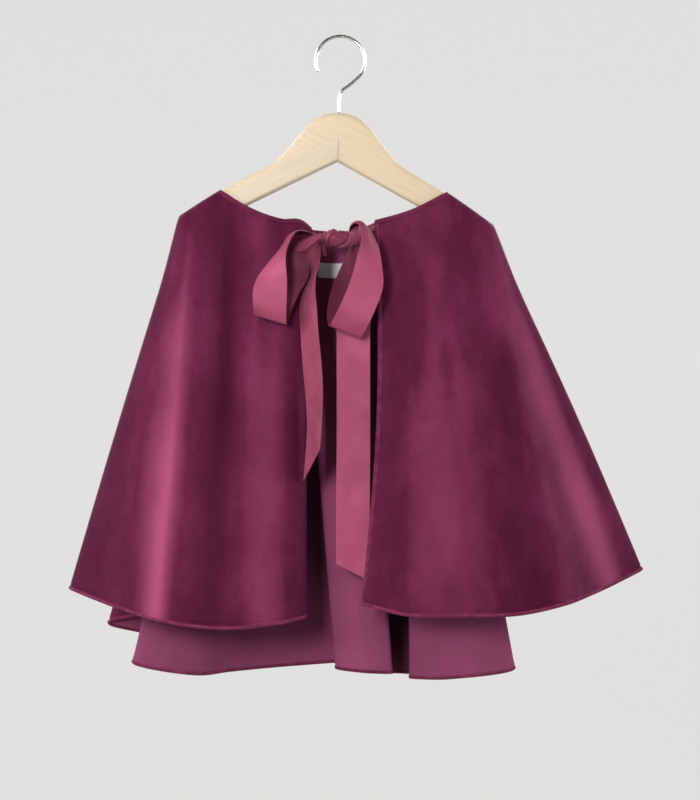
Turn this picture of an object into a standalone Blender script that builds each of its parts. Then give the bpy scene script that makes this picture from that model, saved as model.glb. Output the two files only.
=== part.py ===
"""A child's velvet cape hung on a wooden hanger and tied at the neck with a ribbon bow.

Sizes are in millimetres and become metres when a mesh is made. +X is the viewer's right, -Y faces the
viewer and +Z is up. The origin is the inside top of the hook, where it bears on a peg or a rail.
"""

import math

import bpy
import numpy as np

MM = 0.001

# Driving sizes
CLOTH = 1.6
BAND = 1.0
BAND_TALL = 5.5
RIBBON = 1.0
RIBBON_WIDE = 32.0
LABEL = 1.0
SEAM = 0.3
HANGER_ROLL_DEG = 1.6
ARM_THICK = 14.0
ARM_END = 150.0
ARM_END_ROUND = 9.0
ARM_ROOM = 0.6
ARM_BOTTOM_START = -120.3
ARM_BOTTOM_FALL = 0.52
ARM_TOP_ROUND = 6.5
ARM_BOTTOM_ROUND = 3.0
FACET_START = -98.0
FACET_FALL = 0.474
FACET_PROUD = 1.0
HOOK_WIRE = 3.2
HOOK_RADIUS = 24.0
SHANK_TOP = -60.0
NECK_OUT = {-1: 113.5, 1: 107.5}
BACK_NECK_SAG = 38.0
BACK_NECK_DEPTH = 4.0
ARM_PASSED = 0.05
BACK_FLARE = 0.85
LATE_FOLDS = 0.3
SETTLE = 0.12
TYPICAL_DROP = 400.0
ARM_SECTIONS = (8, 16, 23, 30, 36, 42, 49, 56, 63, 73, 85, 103, 121, 133, 139.5, 143.5, 146.5)

# Materials: name, colour, roughness, metallic
MATERIALS = (
    ("velvet", (0.150, 0.022, 0.062), 0.90, 0.0),
    ("ribbon", (0.400, 0.080, 0.155), 0.70, 0.0),
    ("label cloth", (0.640, 0.560, 0.550), 0.85, 0.0),
    ("pale wood", (0.730, 0.590, 0.400), 0.50, 0.0),
    ("bright steel", (0.780, 0.780, 0.780), 0.18, 1.0),
)
SMOOTH_BELOW_DEG = 50.0

# Half of the hanger's top edge: distance out from the middle, height
HANGER_TOP = (
    (0.0, -73.0),
    (10.0, -74.2),
    (20.0, -78.2),
    (30.0, -86.5),
    (40.0, -98.5),
    (50.0, -111.0),
    (62.0, -123.0),
    (82.0, -134.8),
    (103.0, -147.2),
    (125.0, -161.2),
    (150.0, -178.5),
)

# Neck edge of each front: station, x, z, how far it hangs in front of the hanger arm
NECK_LEFT = (
    (0.00, -25.0, -190.0, -2.4),
    (0.10, -35.5, -181.0, 6.0),
    (0.33, -57.0, -178.3, 7.0),
    (0.55, -77.0, -172.0, 5.5),
    (0.78, -98.0, -161.5, 2.1),
)
NECK_RIGHT = (
    (6.25, 88.0, -159.3, 2.0),
    (6.50, 72.0, -167.4, 4.5),
    (6.75, 54.5, -173.8, 6.0),
    (7.00, 33.0, -179.5, 6.0),
)

# Sections of the cape, round from the left front's free edge to the right front's: the point where the
# section meets the hem, its station along the top edge, and how far its line bows sideways.
# Stations: 1 and 3 left neck point, 2 left end of the hanger, 4 and 6 right neck point, 5 right end
# name, hem x, hem y, hem z, station, bow
SECTIONS = (
    ("left edge turned in", -42.0, -38.0, -555.0, 0.00, 0.0),
    ("left roll", -33.0, -52.0, -557.0, 0.10, 0.0),
    ("left inner", -52.0, -67.0, -561.0, 0.28, 0.0),
    ("left middle", -95.0, -74.0, -566.0, 0.62, 0.0),
    ("left neck", -135.0, -71.0, -565.0, 1.00, 0.0),
    ("left ridge", -167.0, -66.0, -560.5, 1.60, 0.0),
    ("left slope", -187.0, -46.0, -558.0, 1.75, 0.0),
    ("left flap", -226.0, -25.0, -547.5, 1.90, -1.0),
    ("left side", -263.5, 0.0, -535.5, 2.00, -1.5),
    ("left finger", -187.0, 20.0, -559.0, 2.22, -1.0),
    ("left ripple", -231.0, 37.0, -574.0, 2.42, 0.0),
    ("left back", -192.0, 47.0, -586.0, 2.56, 0.0),
    ("left cup", -150.0, 28.0, -597.0, 2.72, 0.0),
    ("left pleat", -202.0, -4.0, -607.0, 3.00, 0.0),
    ("back ridge", -139.0, -14.0, -617.5, 3.11, 0.0),
    ("back valley", -107.0, -3.0, -615.5, 3.19, 0.0),
    ("back middle", -51.0, 13.0, -612.5, 3.27, 0.0),
    ("back tuck", 16.0, 16.0, -609.0, 3.33, 0.0),
    ("pleat left", -4.5, -3.0, -612.5, 3.38, 0.0),
    ("pleat middle", 20.0, -17.0, -614.5, 3.50, 0.0),
    ("pleat brink", 43.0, -12.8, -616.2, 3.61, 0.0),
    ("pleat right", 49.0, -10.0, -616.5, 3.64, 0.0),
    ("pleat wall", 46.5, 12.0, -619.0, 3.67, 0.0),
    ("recess", 50.0, 42.0, -623.5, 3.71, 0.0),
    ("recess end", 66.5, 43.0, -624.5, 3.76, 0.0),
    ("panel wall", 71.0, 12.0, -622.5, 3.80, 0.0),
    ("panel left", 67.5, -11.0, -621.0, 3.83, 0.0),
    ("panel brink", 74.0, -14.5, -621.0, 3.86, 0.0),
    ("panel middle", 104.0, -22.0, -620.0, 3.92, 0.0),
    ("panel right", 168.0, -8.0, -612.0, 4.00, 0.0),
    ("right tuck", 117.0, 14.0, -596.0, 4.35, 0.0),
    ("right back", 184.0, 25.0, -554.0, 4.62, 0.0),
    ("right flare", 243.0, 17.0, -532.0, 4.84, 2.0),
    ("right side", 292.5, 0.0, -517.0, 5.00, 3.5),
    ("right flap", 269.0, -14.0, -527.5, 5.08, 2.5),
    ("right slope", 240.0, -38.0, -537.2, 5.22, 1.5),
    ("right ridge", 212.0, -59.0, -545.0, 5.45, 0.0),
    ("right neck", 167.0, -69.0, -553.5, 6.00, 0.0),
    ("right middle", 115.0, -75.0, -554.5, 6.35, 0.0),
    ("right inner", 64.0, -73.0, -554.0, 6.68, 0.0),
    ("right edge", 20.0, -62.0, -544.5, 7.00, 8.5),
)
NAMES = [row[0] for row in SECTIONS]

# Shares of a section's length at which the cloth is cut into facets, closer together over the hanger
DROPS = (0.0, 0.009, 0.018, 0.030, 0.05, 0.09, 0.15, 0.23, 0.33, 0.44, 0.56, 0.68, 0.80, 0.90, 1.0)
COLUMNS_PER_SECTION = 4
# Stations close to the neck points, where the top edge climbs over the hanger arm
NECK_STATIONS = (
    *(0.94, 0.96, 0.975, 0.99),
    *(3.004, 3.012, 3.02, 3.03),
    *(3.97, 3.98, 3.988, 3.996),
    *(6.012, 6.035, 6.06, 6.09),
)

# Ribbon stretches: x, y, z, share of the full width, tilt and turn of the width in degrees
LOOP_LEFT = (
    (-43.5, -29.0, -202.0, 0.28, 0, 0),
    (-46.0, -37.0, -190.0, 0.30, 0, 0),
    (-55.0, -44.0, -201.0, 0.34, 0, 0),
    (-62.5, -50.0, -222.0, 0.65, 4, 0),
    (-66.5, -53.0, -245.0, 1.00, 6, 0),
    (-67.0, -52.0, -267.0, 1.00, 12, 0),
    (-66.5, -44.0, -276.0, 1.00, 17, 0),
    (-62.5, -36.0, -265.5, 1.00, 21, 0),
    (-55.0, -33.0, -247.0, 1.00, 22, 0),
    (-47.0, -31.0, -228.0, 0.75, 15, 0),
    (-41.0, -27.0, -213.0, 0.30, 0, 0),
)
LOOP_RIGHT = (
    (11.0, -27.0, -188.1, 0.28, 0, 62),
    (13.5, -33.0, -182.8, 0.34, 0, 62),
    (19.5, -38.5, -181.6, 0.40, 0, 58),
    (24.5, -43.0, -190.0, 0.46, 0, 45),
    (27.0, -46.5, -203.0, 0.55, 2, 22),
    (27.0, -49.0, -218.0, 0.72, 6, 5),
    (25.0, -51.0, -240.5, 0.97, 14, 0),
    (18.0, -50.0, -260.5, 1.00, 20, 0),
    (10.0, -48.0, -277.0, 1.00, 22, 0),
    (3.5, -42.0, -287.5, 1.00, 22, 0),
    (1.0, -36.0, -276.0, 1.00, 21, 0),
    (3.0, -34.0, -260.0, 1.00, 18, 0),
    (8.0, -33.0, -241.0, 0.90, 14, 0),
    (12.5, -30.0, -220.0, 0.60, 6, 0),
    (13.0, -26.0, -202.8, 0.26, -32, 0),
)
TAIL_LEFT = (
    (-29.0, -28.0, -209.2, 0.36, -8, 0),
    (-27.5, -31.5, -219.0, 0.52, -16, -22),
    (-26.0, -38.0, -231.0, 0.74, -8, -66),
    (-30.0, -43.5, -247.0, 0.95, 0, -68),
    (-31.0, -46.0, -265.0, 1.00, 0, -59),
    (-30.0, -48.0, -285.0, 1.00, 0, -58),
    (-27.5, -50.0, -316.0, 1.00, 0, -56),
    (-25.5, -52.5, -342.0, 1.00, 0, -58),
    (-25.0, -56.0, -376.0, 1.00, 0, -64),
    (-28.5, -61.0, -429.0, 1.00, 0, -65),
)
TAIL_RIGHT = (
    (4.0, -25.0, -207.5, 0.35, 0, 0),
    (8.0, -25.0, -228.0, 0.75, 0, 0),
    (11.5, -27.0, -256.0, 1.00, 0, 0),
    (12.0, -29.0, -295.0, 1.00, 0, 0),
    (12.0, -36.0, -400.0, 1.00, 0, 0),
    (11.5, -40.0, -466.0, 1.00, 0, 0),
    (11.5, -44.0, -524.0, 1.00, 0, 0),
)
TIE_LEFT = (
    (-27.6, -11.2, -197.0, 0.28, 90, 0),
    (-26.8, -15.0, -198.0, 0.28, 90, 0),
    (-25.5, -19.4, -199.0, 0.28, 90, 0),
)
TIE_RIGHT = (
    (32.3, -14.6, -186.6, 0.34, 90, 0),
    (25.0, -19.5, -190.0, 0.34, 90, 0),
    (17.8, -24.3, -193.6, 0.30, 90, 0),
)
# How much of a tail's length its left and right edges run, where the end is cut on the slant
TAIL_LEFT_CUT = (1.0, 0.87)
TAIL_RIGHT_CUT = (0.95, 1.0)
STRAIGHT = (1.0, 1.0)

# The knot: x, y, z, half height, half depth
KNOT = (
    (-42.5, -25.0, -208.5, 1.6, 1.6),
    (-38.0, -25.5, -206.5, 4.2, 4.0),
    (-27.5, -27.0, -201.0, 7.5, 7.0),
    (-12.5, -28.0, -198.0, 9.0, 8.5),
    (2.0, -27.0, -198.0, 8.5, 8.0),
    (12.5, -25.5, -194.3, 5.5, 5.0),
    (17.0, -24.5, -193.5, 1.8, 1.8),
)

# The label: stations across the back neck and shares of the drop
LABEL_STATIONS = (3.425, 3.615)
LABEL_DROP = (0.072, 0.106)


def slopes(knots, values):
    """Slope of a smooth curve at each of its points."""
    steps = np.diff(knots)[:, None]
    rises = np.diff(values, axis=0) / steps
    middle = (rises[:-1] * steps[1:] + rises[1:] * steps[:-1]) / (steps[1:] + steps[:-1])
    return np.concatenate([rises[:1], middle, rises[-1:]])


def even_slopes(knots, values):
    """Slope at each point that keeps a rising curve from turning back."""
    steps = np.diff(knots)
    rises = np.diff(values) / steps
    inner = 2.0 / (1.0 / np.maximum(rises[:-1], 1e-9) + 1.0 / np.maximum(rises[1:], 1e-9))
    return np.concatenate([rises[:1], inner, rises[-1:]])


def hermite(knots, values, tangents, at):
    """The cubic curve through values, with these tangents, at the places given."""
    i = np.clip(np.searchsorted(knots, at, side="right") - 1, 0, len(knots) - 2)
    width = (knots[i + 1] - knots[i])[:, None]
    f = (at - knots[i])[:, None] / width
    start = (1 + 2 * f) * (1 - f) ** 2 * values[i] + f * (1 - f) ** 2 * width * tangents[i]
    end = f * f * (3 - 2 * f) * values[i + 1] + f * f * (f - 1) * width * tangents[i + 1]
    return start + end


def smooth_path(knots, values, at):
    return hermite(knots, values, slopes(knots, values), at)


def chord_knots(points):
    """Knots along a path that keep a smooth curve from looping at its tight turns."""
    steps = np.sqrt(np.linalg.norm(np.diff(points, axis=0), axis=1))
    return np.concatenate([[0.0], np.cumsum(steps)])


def rolled(points):
    """Points of the upright hanger turned about the hook's bearing."""
    roll = math.radians(HANGER_ROLL_DEG)
    x, y, z = points[..., 0], points[..., 1], points[..., 2]
    turned_x = x * math.cos(roll) + z * math.sin(roll)
    turned_z = z * math.cos(roll) - x * math.sin(roll)
    return np.stack([turned_x, y, turned_z], axis=-1)


def hanger_top(out):
    table = np.array(HANGER_TOP)
    return smooth_path(table[:, 0], table[:, 1:], np.atleast_1d(out))[:, 0]


def hanger_bottom(out):
    return ARM_BOTTOM_START - ARM_BOTTOM_FALL * np.atleast_1d(out)


REACH = ARM_THICK / 2 + ARM_ROOM + CLOTH / 2


def arm_ridge(side):
    """The line in which the cloth's middle rides along the top of one arm, from the neck to the end."""
    out = np.linspace(NECK_OUT[side] - 30.0, ARM_END, 40)
    up = hanger_top(out)
    fall = np.gradient(up, out)
    scale = (ARM_ROOM + CLOTH / 2) / np.hypot(1.0, fall)
    ridge_out = out - fall * scale
    ridge_up = up + scale
    points = np.stack([side * ridge_out, np.zeros_like(out), ridge_up], axis=-1)
    return rolled(points)


RIDGES = {-1: arm_ridge(-1), 1: arm_ridge(1)}


def ridge_height(side, x):
    line = RIDGES[side]
    order = np.argsort(line[:, 0])
    return np.interp(x, line[order, 0], line[order, 2])


def ridge_x(side, share):
    """x at a share of the way along an arm, from the neck point to the end."""
    line = RIDGES[side]
    neck = rolled(np.array([side * NECK_OUT[side], 0.0, hanger_top(NECK_OUT[side])[0]]))[0]
    return neck + (line[-1, 0] - neck) * share


def top_edge(station):
    """Points of the cape's top edge, how far round the arm each starts, its reach and its side of the arm."""
    points = np.zeros((len(station), 3))
    forward = np.zeros(len(station))
    reach = np.full(len(station), REACH)
    facing = np.where((station > 2) & (station < 5), 1.0, -1.0)
    on_arm = np.zeros(len(station), bool)
    for first, side, away in ((1, -1, 1), (2, -1, -1), (4, 1, 1), (5, 1, -1)):
        here = (station >= first) & (station <= first + 1)
        share = station[here] - first if away > 0 else first + 1 - station[here]
        x = ridge_x(side, share)
        length = abs(ridge_x(side, 1.0) - ridge_x(side, 0.0))
        past = np.clip(1.0 - (1.0 - share) * length / REACH, 0.0, 1.0)
        points[here, 0] = x
        points[here, 2] = ridge_height(side, x)
        reach[here] = REACH * np.sqrt(1.0 - past**2)
        on_arm |= here
    left_neck = np.array([ridge_x(-1, 0.0), ridge_height(-1, ridge_x(-1, 0.0))])
    right_neck = np.array([ridge_x(1, 0.0), ridge_height(1, ridge_x(1, 0.0))])
    left = np.array([*NECK_LEFT, (1.0, *left_neck, 0.0)])
    right = np.array([(6.0, *right_neck, 0.0), *NECK_RIGHT])
    for table, here in ((left, station < 1), (right, station > 6)):
        along = smooth_path(table[:, 0], table[:, 1:], station[here])
        points[here, 0] = along[:, 0]
        points[here, 2] = along[:, 1]
        forward[here] = along[:, 2]
    here = (station > 3) & (station < 4)
    share = station[here] - 3
    sag = 1.0 - (2.0 * share - 1.0) ** 2
    points[here, 0] = left_neck[0] + (right_neck[0] - left_neck[0]) * share
    points[here, 2] = left_neck[1] + (right_neck[1] - left_neck[1]) * share - BACK_NECK_SAG * sag
    forward[here] = BACK_NECK_DEPTH * sag
    side = np.where(points[:, 0] < 0, -1, 1)
    ridge = np.where(side < 0, ridge_height(-1, points[:, 0]), ridge_height(1, points[:, 0]))
    below = np.clip((ridge - points[:, 2]) / REACH, 0.0, 1.0)
    start = np.where(on_arm, 0.0, np.arccos(1.0 - below))
    middle = np.abs(points[:, 0]) < NECK_OUT[1] - 30.0
    start = np.where(middle & ~on_arm, math.pi / 2, start)
    points[:, 1] = facing * (SEAM / 2 + reach * np.sin(start) + forward)
    return points, start, reach, facing


HEMS = np.array([row[1:4] for row in SECTIONS])
KNOTS = chord_knots(HEMS)
STATIONS = np.array([row[4] for row in SECTIONS])
BOWS = np.array([[row[5]] for row in SECTIONS])


def station_at(knots):
    slope = even_slopes(KNOTS, STATIONS)[:, None]
    return hermite(KNOTS, STATIONS[:, None], slope, knots)[:, 0]


def cape_points(knots, drops):
    """Middle of the cloth, one row of points down each section line."""
    drop = np.asarray(drops)[None, :]
    hem = smooth_path(KNOTS, HEMS, knots)
    bow = smooth_path(KNOTS, BOWS, knots)
    station = station_at(knots)
    top, start, reach, facing = top_edge(station)
    length = np.linalg.norm(hem - top, axis=1)[:, None]
    start, reach, facing = start[:, None], reach[:, None], facing[:, None]
    leave = (math.pi / 2 - start) * REACH
    angle = np.minimum(start + drop * length / REACH, math.pi / 2)
    hanging = np.clip((drop * length - leave) / (length - leave), 0.0, 1.0)
    near = np.exp(-((drop / SETTLE) ** 2))
    past = drop + (hanging - drop) * near
    behind = np.maximum(past - ARM_PASSED, 0.0) / (1.0 - ARM_PASSED)
    flare = np.where(facing > 0, behind**BACK_FLARE, past)
    late = 1.0 + LATE_FOLDS * np.clip(np.minimum(station - 2.0, 5.0 - station) / 0.2, 0.0, 1.0)[:, None]
    x = top[:, :1] + (hem[:, :1] - top[:, :1]) * drop**late + bow * np.sin(math.pi * drop)
    leave_y = top[:, 1:2] + facing * reach * (1.0 - np.sin(start))
    round_y = top[:, 1:2] + facing * reach * (np.sin(angle) - np.sin(start))
    y = round_y + (hem[:, 1:2] - leave_y) * flare
    leave_z = top[:, 2:] - REACH * np.cos(start)
    round_z = top[:, 2:] - REACH * (np.cos(start) - np.cos(angle))
    z = round_z + (hem[:, 2:] - leave_z) * past
    return np.stack([x, y, z], axis=-1)


FINE_KNOTS = np.linspace(KNOTS[0], KNOTS[-1], 6000)
FINE_STATIONS = station_at(FINE_KNOTS)


def knots_of(stations):
    return np.interp(stations, FINE_STATIONS, FINE_KNOTS)


def section_knots(first, last, columns):
    """Knots from one named section to another, closer together by the neck points."""
    start, end = NAMES.index(first), NAMES.index(last)
    counts = np.arange(start * columns, end * columns + 1) / columns
    knots = np.interp(counts, np.arange(len(KNOTS)), KNOTS)
    extra = knots_of(np.array(NECK_STATIONS))
    extra = extra[(extra > knots[0]) & (extra < knots[-1])]
    spaced = knots[np.abs(knots[:, None] - extra[None]).min(axis=1) > 0.02] if len(extra) else knots
    return np.unique(np.concatenate([knots[:1], spaced, extra, knots[-1:]]))


def normals(grid):
    across = np.gradient(grid, axis=0, edge_order=2)
    down = np.gradient(grid, axis=1, edge_order=2)
    normal = np.cross(across, down)
    return normal / np.linalg.norm(normal, axis=-1, keepdims=True)


def cape_grid(knots, drops):
    """Middle of the cloth and its outward direction, which runs on across a seam."""
    step = 0.05
    grid = cape_points(knots, drops)
    ahead = cape_points(np.minimum(knots + step, KNOTS[-1]), drops)
    behind = cape_points(np.maximum(knots - step, KNOTS[0]), drops)
    down = np.gradient(grid, axis=1, edge_order=2)
    normal = np.cross(ahead - behind, down)
    return grid, normal / np.linalg.norm(normal, axis=-1, keepdims=True)


def add_materials():
    made = {}
    for name, colour, roughness, metallic in MATERIALS:
        material = bpy.data.materials.new(name)
        material.use_nodes = True
        shader = material.node_tree.nodes["Principled BSDF"]
        shader.inputs["Base Color"].default_value = (*colour, 1.0)
        shader.inputs["Roughness"].default_value = roughness
        shader.inputs["Metallic"].default_value = metallic
        made[name] = material
    return made


def add_object(name, points, faces):
    mesh = bpy.data.meshes.new(name)
    mesh.from_pydata((np.asarray(points) * MM).tolist(), [], faces)
    mesh.validate()
    mesh.shade_smooth()
    mesh.set_sharp_from_angle(angle=math.radians(SMOOTH_BELOW_DEG))
    obj = bpy.data.objects.new(name, mesh)
    bpy.context.scene.collection.objects.link(obj)
    return obj


def add_sheet(name, outer, inner):
    """A closed wall between two grids of points."""
    rows, columns = outer.shape[:2]
    under = rows * columns

    def at(row, column):
        return row * columns + column

    faces = []
    for r in range(rows - 1):
        for c in range(columns - 1):
            quad = [at(r, c), at(r, c + 1), at(r + 1, c + 1), at(r + 1, c)]
            faces.append([quad[2], quad[1], quad[0], quad[3]])
            faces.append([corner + under for corner in quad])
    rim = [at(r, 0) for r in range(rows)]
    rim += [at(rows - 1, c) for c in range(1, columns)]
    rim += [at(r, columns - 1) for r in range(rows - 2, -1, -1)]
    rim += [at(0, c) for c in range(columns - 2, 0, -1)]
    for a, b in zip(rim, rim[1:] + rim[:1]):
        faces.append([b, a, a + under, b + under])
    points = np.concatenate([outer.reshape(-1, 3), inner.reshape(-1, 3)])
    return add_object(name, points, faces)


def add_loft(name, rings):
    """A closed solid through rings of points."""
    count, around = rings.shape[:2]
    faces = []
    for r in range(count - 1):
        for c in range(around):
            d = (c + 1) % around
            faces.append([r * around + c, r * around + d, (r + 1) * around + d, (r + 1) * around + c])
    faces.append(list(range(around))[::-1])
    faces.append([(count - 1) * around + c for c in range(around)])
    return add_object(name, rings.reshape(-1, 3), faces)


def trim_at_shoulder(points, knots, facing):
    """Keeps a wall's top on its own side of the shoulder seam."""
    station = station_at(knots)
    on_arm = (np.floor(station) % 3 != 0) | (station == 3.0) | (station == 6.0)
    rows = np.ix_(on_arm, np.array(DROPS) < ARM_PASSED)
    points[..., 1][rows] = facing * np.maximum(facing * points[..., 1][rows], SEAM / 2)


def add_panel(name, first, last, facing):
    """One cut piece of the cape, between two named sections."""
    knots = section_knots(first, last, COLUMNS_PER_SECTION)
    grid, out = cape_grid(knots, DROPS)
    for column, section in ((0, first), (-1, last)):
        if section.endswith("side"):
            grid[column, :, 1] += facing * SEAM / 2
    outer, inner = grid + out * CLOTH / 2, grid - out * CLOTH / 2
    trim_at_shoulder(outer, knots, facing)
    trim_at_shoulder(inner, knots, facing)
    return add_sheet(name, outer, inner)


def add_band(name, first, last, stations):
    """The stitched band along one stretch of the neck edge, lying on the outside of its panel."""
    knots = section_knots(first, last, COLUMNS_PER_SECTION)
    ends = knots_of(np.array(stations))
    inside = knots[(knots > ends[0] + 0.05) & (knots < ends[1] - 0.05)]
    knots = np.concatenate([ends[:1], inside, ends[1:]])
    grid, out = cape_grid(knots, np.linspace(0.0, BAND_TALL / TYPICAL_DROP, 3))
    near = CLOTH / 2 + SEAM
    return add_sheet(name, grid + out * (near + BAND), grid + out * near)


def add_label():
    """The bare tab inside the back neck, lying on the panel."""
    knots = knots_of(np.linspace(*LABEL_STATIONS, 9))
    grid, out = cape_grid(knots, np.linspace(*LABEL_DROP, 4))
    near = CLOTH / 2 + SEAM
    return add_sheet("label", grid - out * near, grid - out * (near + LABEL))


def ribbon_frames(rows, shares):
    """Middle line, unit width and half width of a ribbon at shares of its length."""
    table = np.array(rows, float)
    knots = chord_knots(table[:, :3])
    fine = np.linspace(0.0, knots[-1], 400)
    line = smooth_path(knots, table[:, :3], fine)
    run = np.concatenate([[0.0], np.cumsum(np.linalg.norm(np.diff(line, axis=0), axis=1))])
    at = np.interp(np.asarray(shares) * run[-1], run, fine)
    middle = smooth_path(knots, table[:, :3], at)
    share, tilt, turn = smooth_path(knots, table[:, 3:], at).T
    tilt, turn = np.radians(tilt), np.radians(turn)
    wide = np.stack([np.cos(turn) * np.cos(tilt), np.sin(turn), -np.cos(turn) * np.sin(tilt)], axis=-1)
    return middle, wide, RIBBON_WIDE / 2 * share[:, None]


def add_ribbon(name, rows, count, cut):
    """A flat strip along a table of places, its two edges cut to their own lengths."""
    edges = []
    for side, share in ((-1, cut[0]), (0, sum(cut) / 2), (1, cut[1])):
        middle, wide, half = ribbon_frames(rows, np.linspace(0.0, share, count))
        edges.append(middle + side * wide * half)
    grid = np.stack(edges, axis=1)
    out = normals(grid) * RIBBON / 2
    return add_sheet(name, grid - out, grid + out)


def tube_rings(line, half_wide, half_deep, sides):
    """Rings round a line that lies near one upright plane."""
    along = np.gradient(line, axis=0)
    along /= np.linalg.norm(along, axis=1, keepdims=True)
    deep = np.array([0.0, 1.0, 0.0])
    wide = np.cross(along, deep)
    wide /= np.linalg.norm(wide, axis=1, keepdims=True)
    deep = np.cross(wide, along)
    angle = np.linspace(0.0, 2 * math.pi, sides, endpoint=False)[None, :, None]
    ring = np.cos(angle) * (wide * half_wide)[:, None] + np.sin(angle) * (deep * half_deep)[:, None]
    return line[:, None] + ring


def add_knot():
    table = np.array(KNOT)
    knots = chord_knots(table[:, :3])
    at = np.linspace(0.0, knots[-1], 22)
    line = smooth_path(knots, table, at)
    return add_loft("knot", tube_rings(line[:, :3], line[:, 3:4], line[:, 4:5], 16))


def arm_ring(out, proud):
    """One upright section of a hanger arm, rounded at its corners, with a facet low on its front."""
    top, bottom = hanger_top(out)[0], hanger_bottom(out)[0]
    half = ARM_THICK / 2
    past = max(out - (ARM_END - ARM_END_ROUND), 0.0) / ARM_END_ROUND
    shrink = math.sqrt(max(1.0 - past**2, 0.04))
    middle = (top + bottom) / 2
    top, bottom = middle + (top - middle) * shrink, middle + (bottom - middle) * shrink
    half *= shrink
    fade = 1.0 - past
    crease = min(FACET_START - FACET_FALL * out, top - ARM_TOP_ROUND * shrink - 0.5)
    crease = max(crease, bottom + ARM_BOTTOM_ROUND * shrink + 0.5)
    ring = [(-half, crease)]
    corners = (
        (-half, top, ARM_TOP_ROUND * shrink, 180.0, 0.0),
        (half, top, ARM_TOP_ROUND * shrink, 90.0, 0.0),
        (half, bottom, ARM_BOTTOM_ROUND * shrink, 0.0, 0.0),
        (-half, bottom, ARM_BOTTOM_ROUND * shrink, -90.0, proud * fade),
    )
    for y, z, radius, from_deg, out_by in corners:
        centre_y = y - math.copysign(radius, y) - out_by
        centre_z = z - radius if z == top else z + radius
        for step in range(5):
            angle = math.radians(from_deg - 22.5 * step)
            ring.append((centre_y + radius * math.cos(angle), centre_z + radius * math.sin(angle)))
    return ring


def add_arm(name, side, proud):
    outs = [SEAM / 2, *ARM_SECTIONS, ARM_END]
    rings = [[(side * out, y, z) for y, z in arm_ring(out, proud)] for out in outs]
    rings = np.array(rings, float)
    return add_loft(name, rings if side < 0 else rings[:, ::-1])


def add_hook():
    """The wire: free end on the left, over the bearing, round on the right and down into the wood."""
    centre = HOOK_WIRE / 2 - HOOK_RADIUS
    turn = np.radians(np.linspace(208.0, -32.0, 25))
    arc = np.stack([HOOK_RADIUS * np.cos(turn), 0.0 * turn, centre + HOOK_RADIUS * np.sin(turn)], axis=-1)
    foot = HANGER_TOP[0][1] + SEAM
    bend = np.array([(10.5, 0.0, -45.0), (2.0, 0.0, -52.0), (0.0, 0.0, SHANK_TOP), (0.0, 0.0, foot)])
    path = np.concatenate([arc, bend])
    knots = chord_knots(path)
    line = smooth_path(knots, path, np.linspace(0.0, knots[-1], 44))
    curve = bpy.data.curves.new("hanger_hook", "CURVE")
    curve.dimensions = "3D"
    curve.bevel_depth = HOOK_WIRE / 2 * MM
    curve.bevel_resolution = 3
    curve.use_fill_caps = True
    spline = curve.splines.new("POLY")
    spline.points.add(len(line) - 1)
    for point, place in zip(spline.points, line * MM):
        point.co = (*place, 1.0)
    obj = bpy.data.objects.new("hanger_hook", curve)
    bpy.context.scene.collection.objects.link(obj)
    return obj


def face_outwards(obj):
    """Turns the faces of a closed mesh round if they point inwards."""
    mesh = obj.data
    mesh.calc_loop_triangles()
    corners = np.array([[mesh.vertices[v].co for v in t.vertices] for t in mesh.loop_triangles])
    if np.linalg.det(corners).sum() < 0:
        mesh.flip_normals()


def build():
    for obj in list(bpy.data.objects):
        bpy.data.objects.remove(obj, do_unlink=True)
    cape = [
        add_panel("front_left", "left edge turned in", "left side", -1),
        add_panel("back", "left side", "right side", 1),
        add_panel("front_right", "right side", "right edge", -1),
        add_band("neck_band_left", "left edge turned in", "left neck", (0.06, 0.985)),
        add_band("neck_band_back", "left pleat", "panel right", (3.006, 3.994)),
        add_band("neck_band_right", "right neck", "right edge", (6.02, 7.0)),
    ]
    bow = [
        add_knot(),
        add_ribbon("loop_left", LOOP_LEFT, 30, STRAIGHT),
        add_ribbon("loop_right", LOOP_RIGHT, 32, STRAIGHT),
        add_ribbon("tail_left", TAIL_LEFT, 26, TAIL_LEFT_CUT),
        add_ribbon("tail_right", TAIL_RIGHT, 22, TAIL_RIGHT_CUT),
        add_ribbon("tie_left", TIE_LEFT, 4, STRAIGHT),
        add_ribbon("tie_right", TIE_RIGHT, 6, STRAIGHT),
    ]
    arms = [
        add_arm("hanger_arm_left", -1, FACET_PROUD),
        add_arm("hanger_arm_right", 1, 0.0),
    ]
    hook = add_hook()
    hanger = bpy.data.objects.new("hanger", None)
    bpy.context.scene.collection.objects.link(hanger)
    hanger.rotation_euler = (0.0, math.radians(HANGER_ROLL_DEG), 0.0)
    for obj in (*arms, hook):
        obj.parent = hanger
    materials = add_materials()
    pieces = {
        "velvet": cape,
        "ribbon": bow,
        "label cloth": [add_label()],
        "pale wood": arms,
        "bright steel": [hook],
    }
    for name, objects in pieces.items():
        for obj in objects:
            obj.data.materials.append(materials[name])
    for obj in (*cape, *bow, *pieces["label cloth"], *arms):
        face_outwards(obj)


build()
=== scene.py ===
"""Looks of a child's velvet cape on its wooden hanger, tied at the neck with a ribbon bow.

Sizes are in millimetres and become metres when a mesh is made. +X is the viewer's right, -Y faces the
viewer and +Z is up. The cloth hangs in the same sections as its solids, drawn finer and creased.
"""

import math

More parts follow.
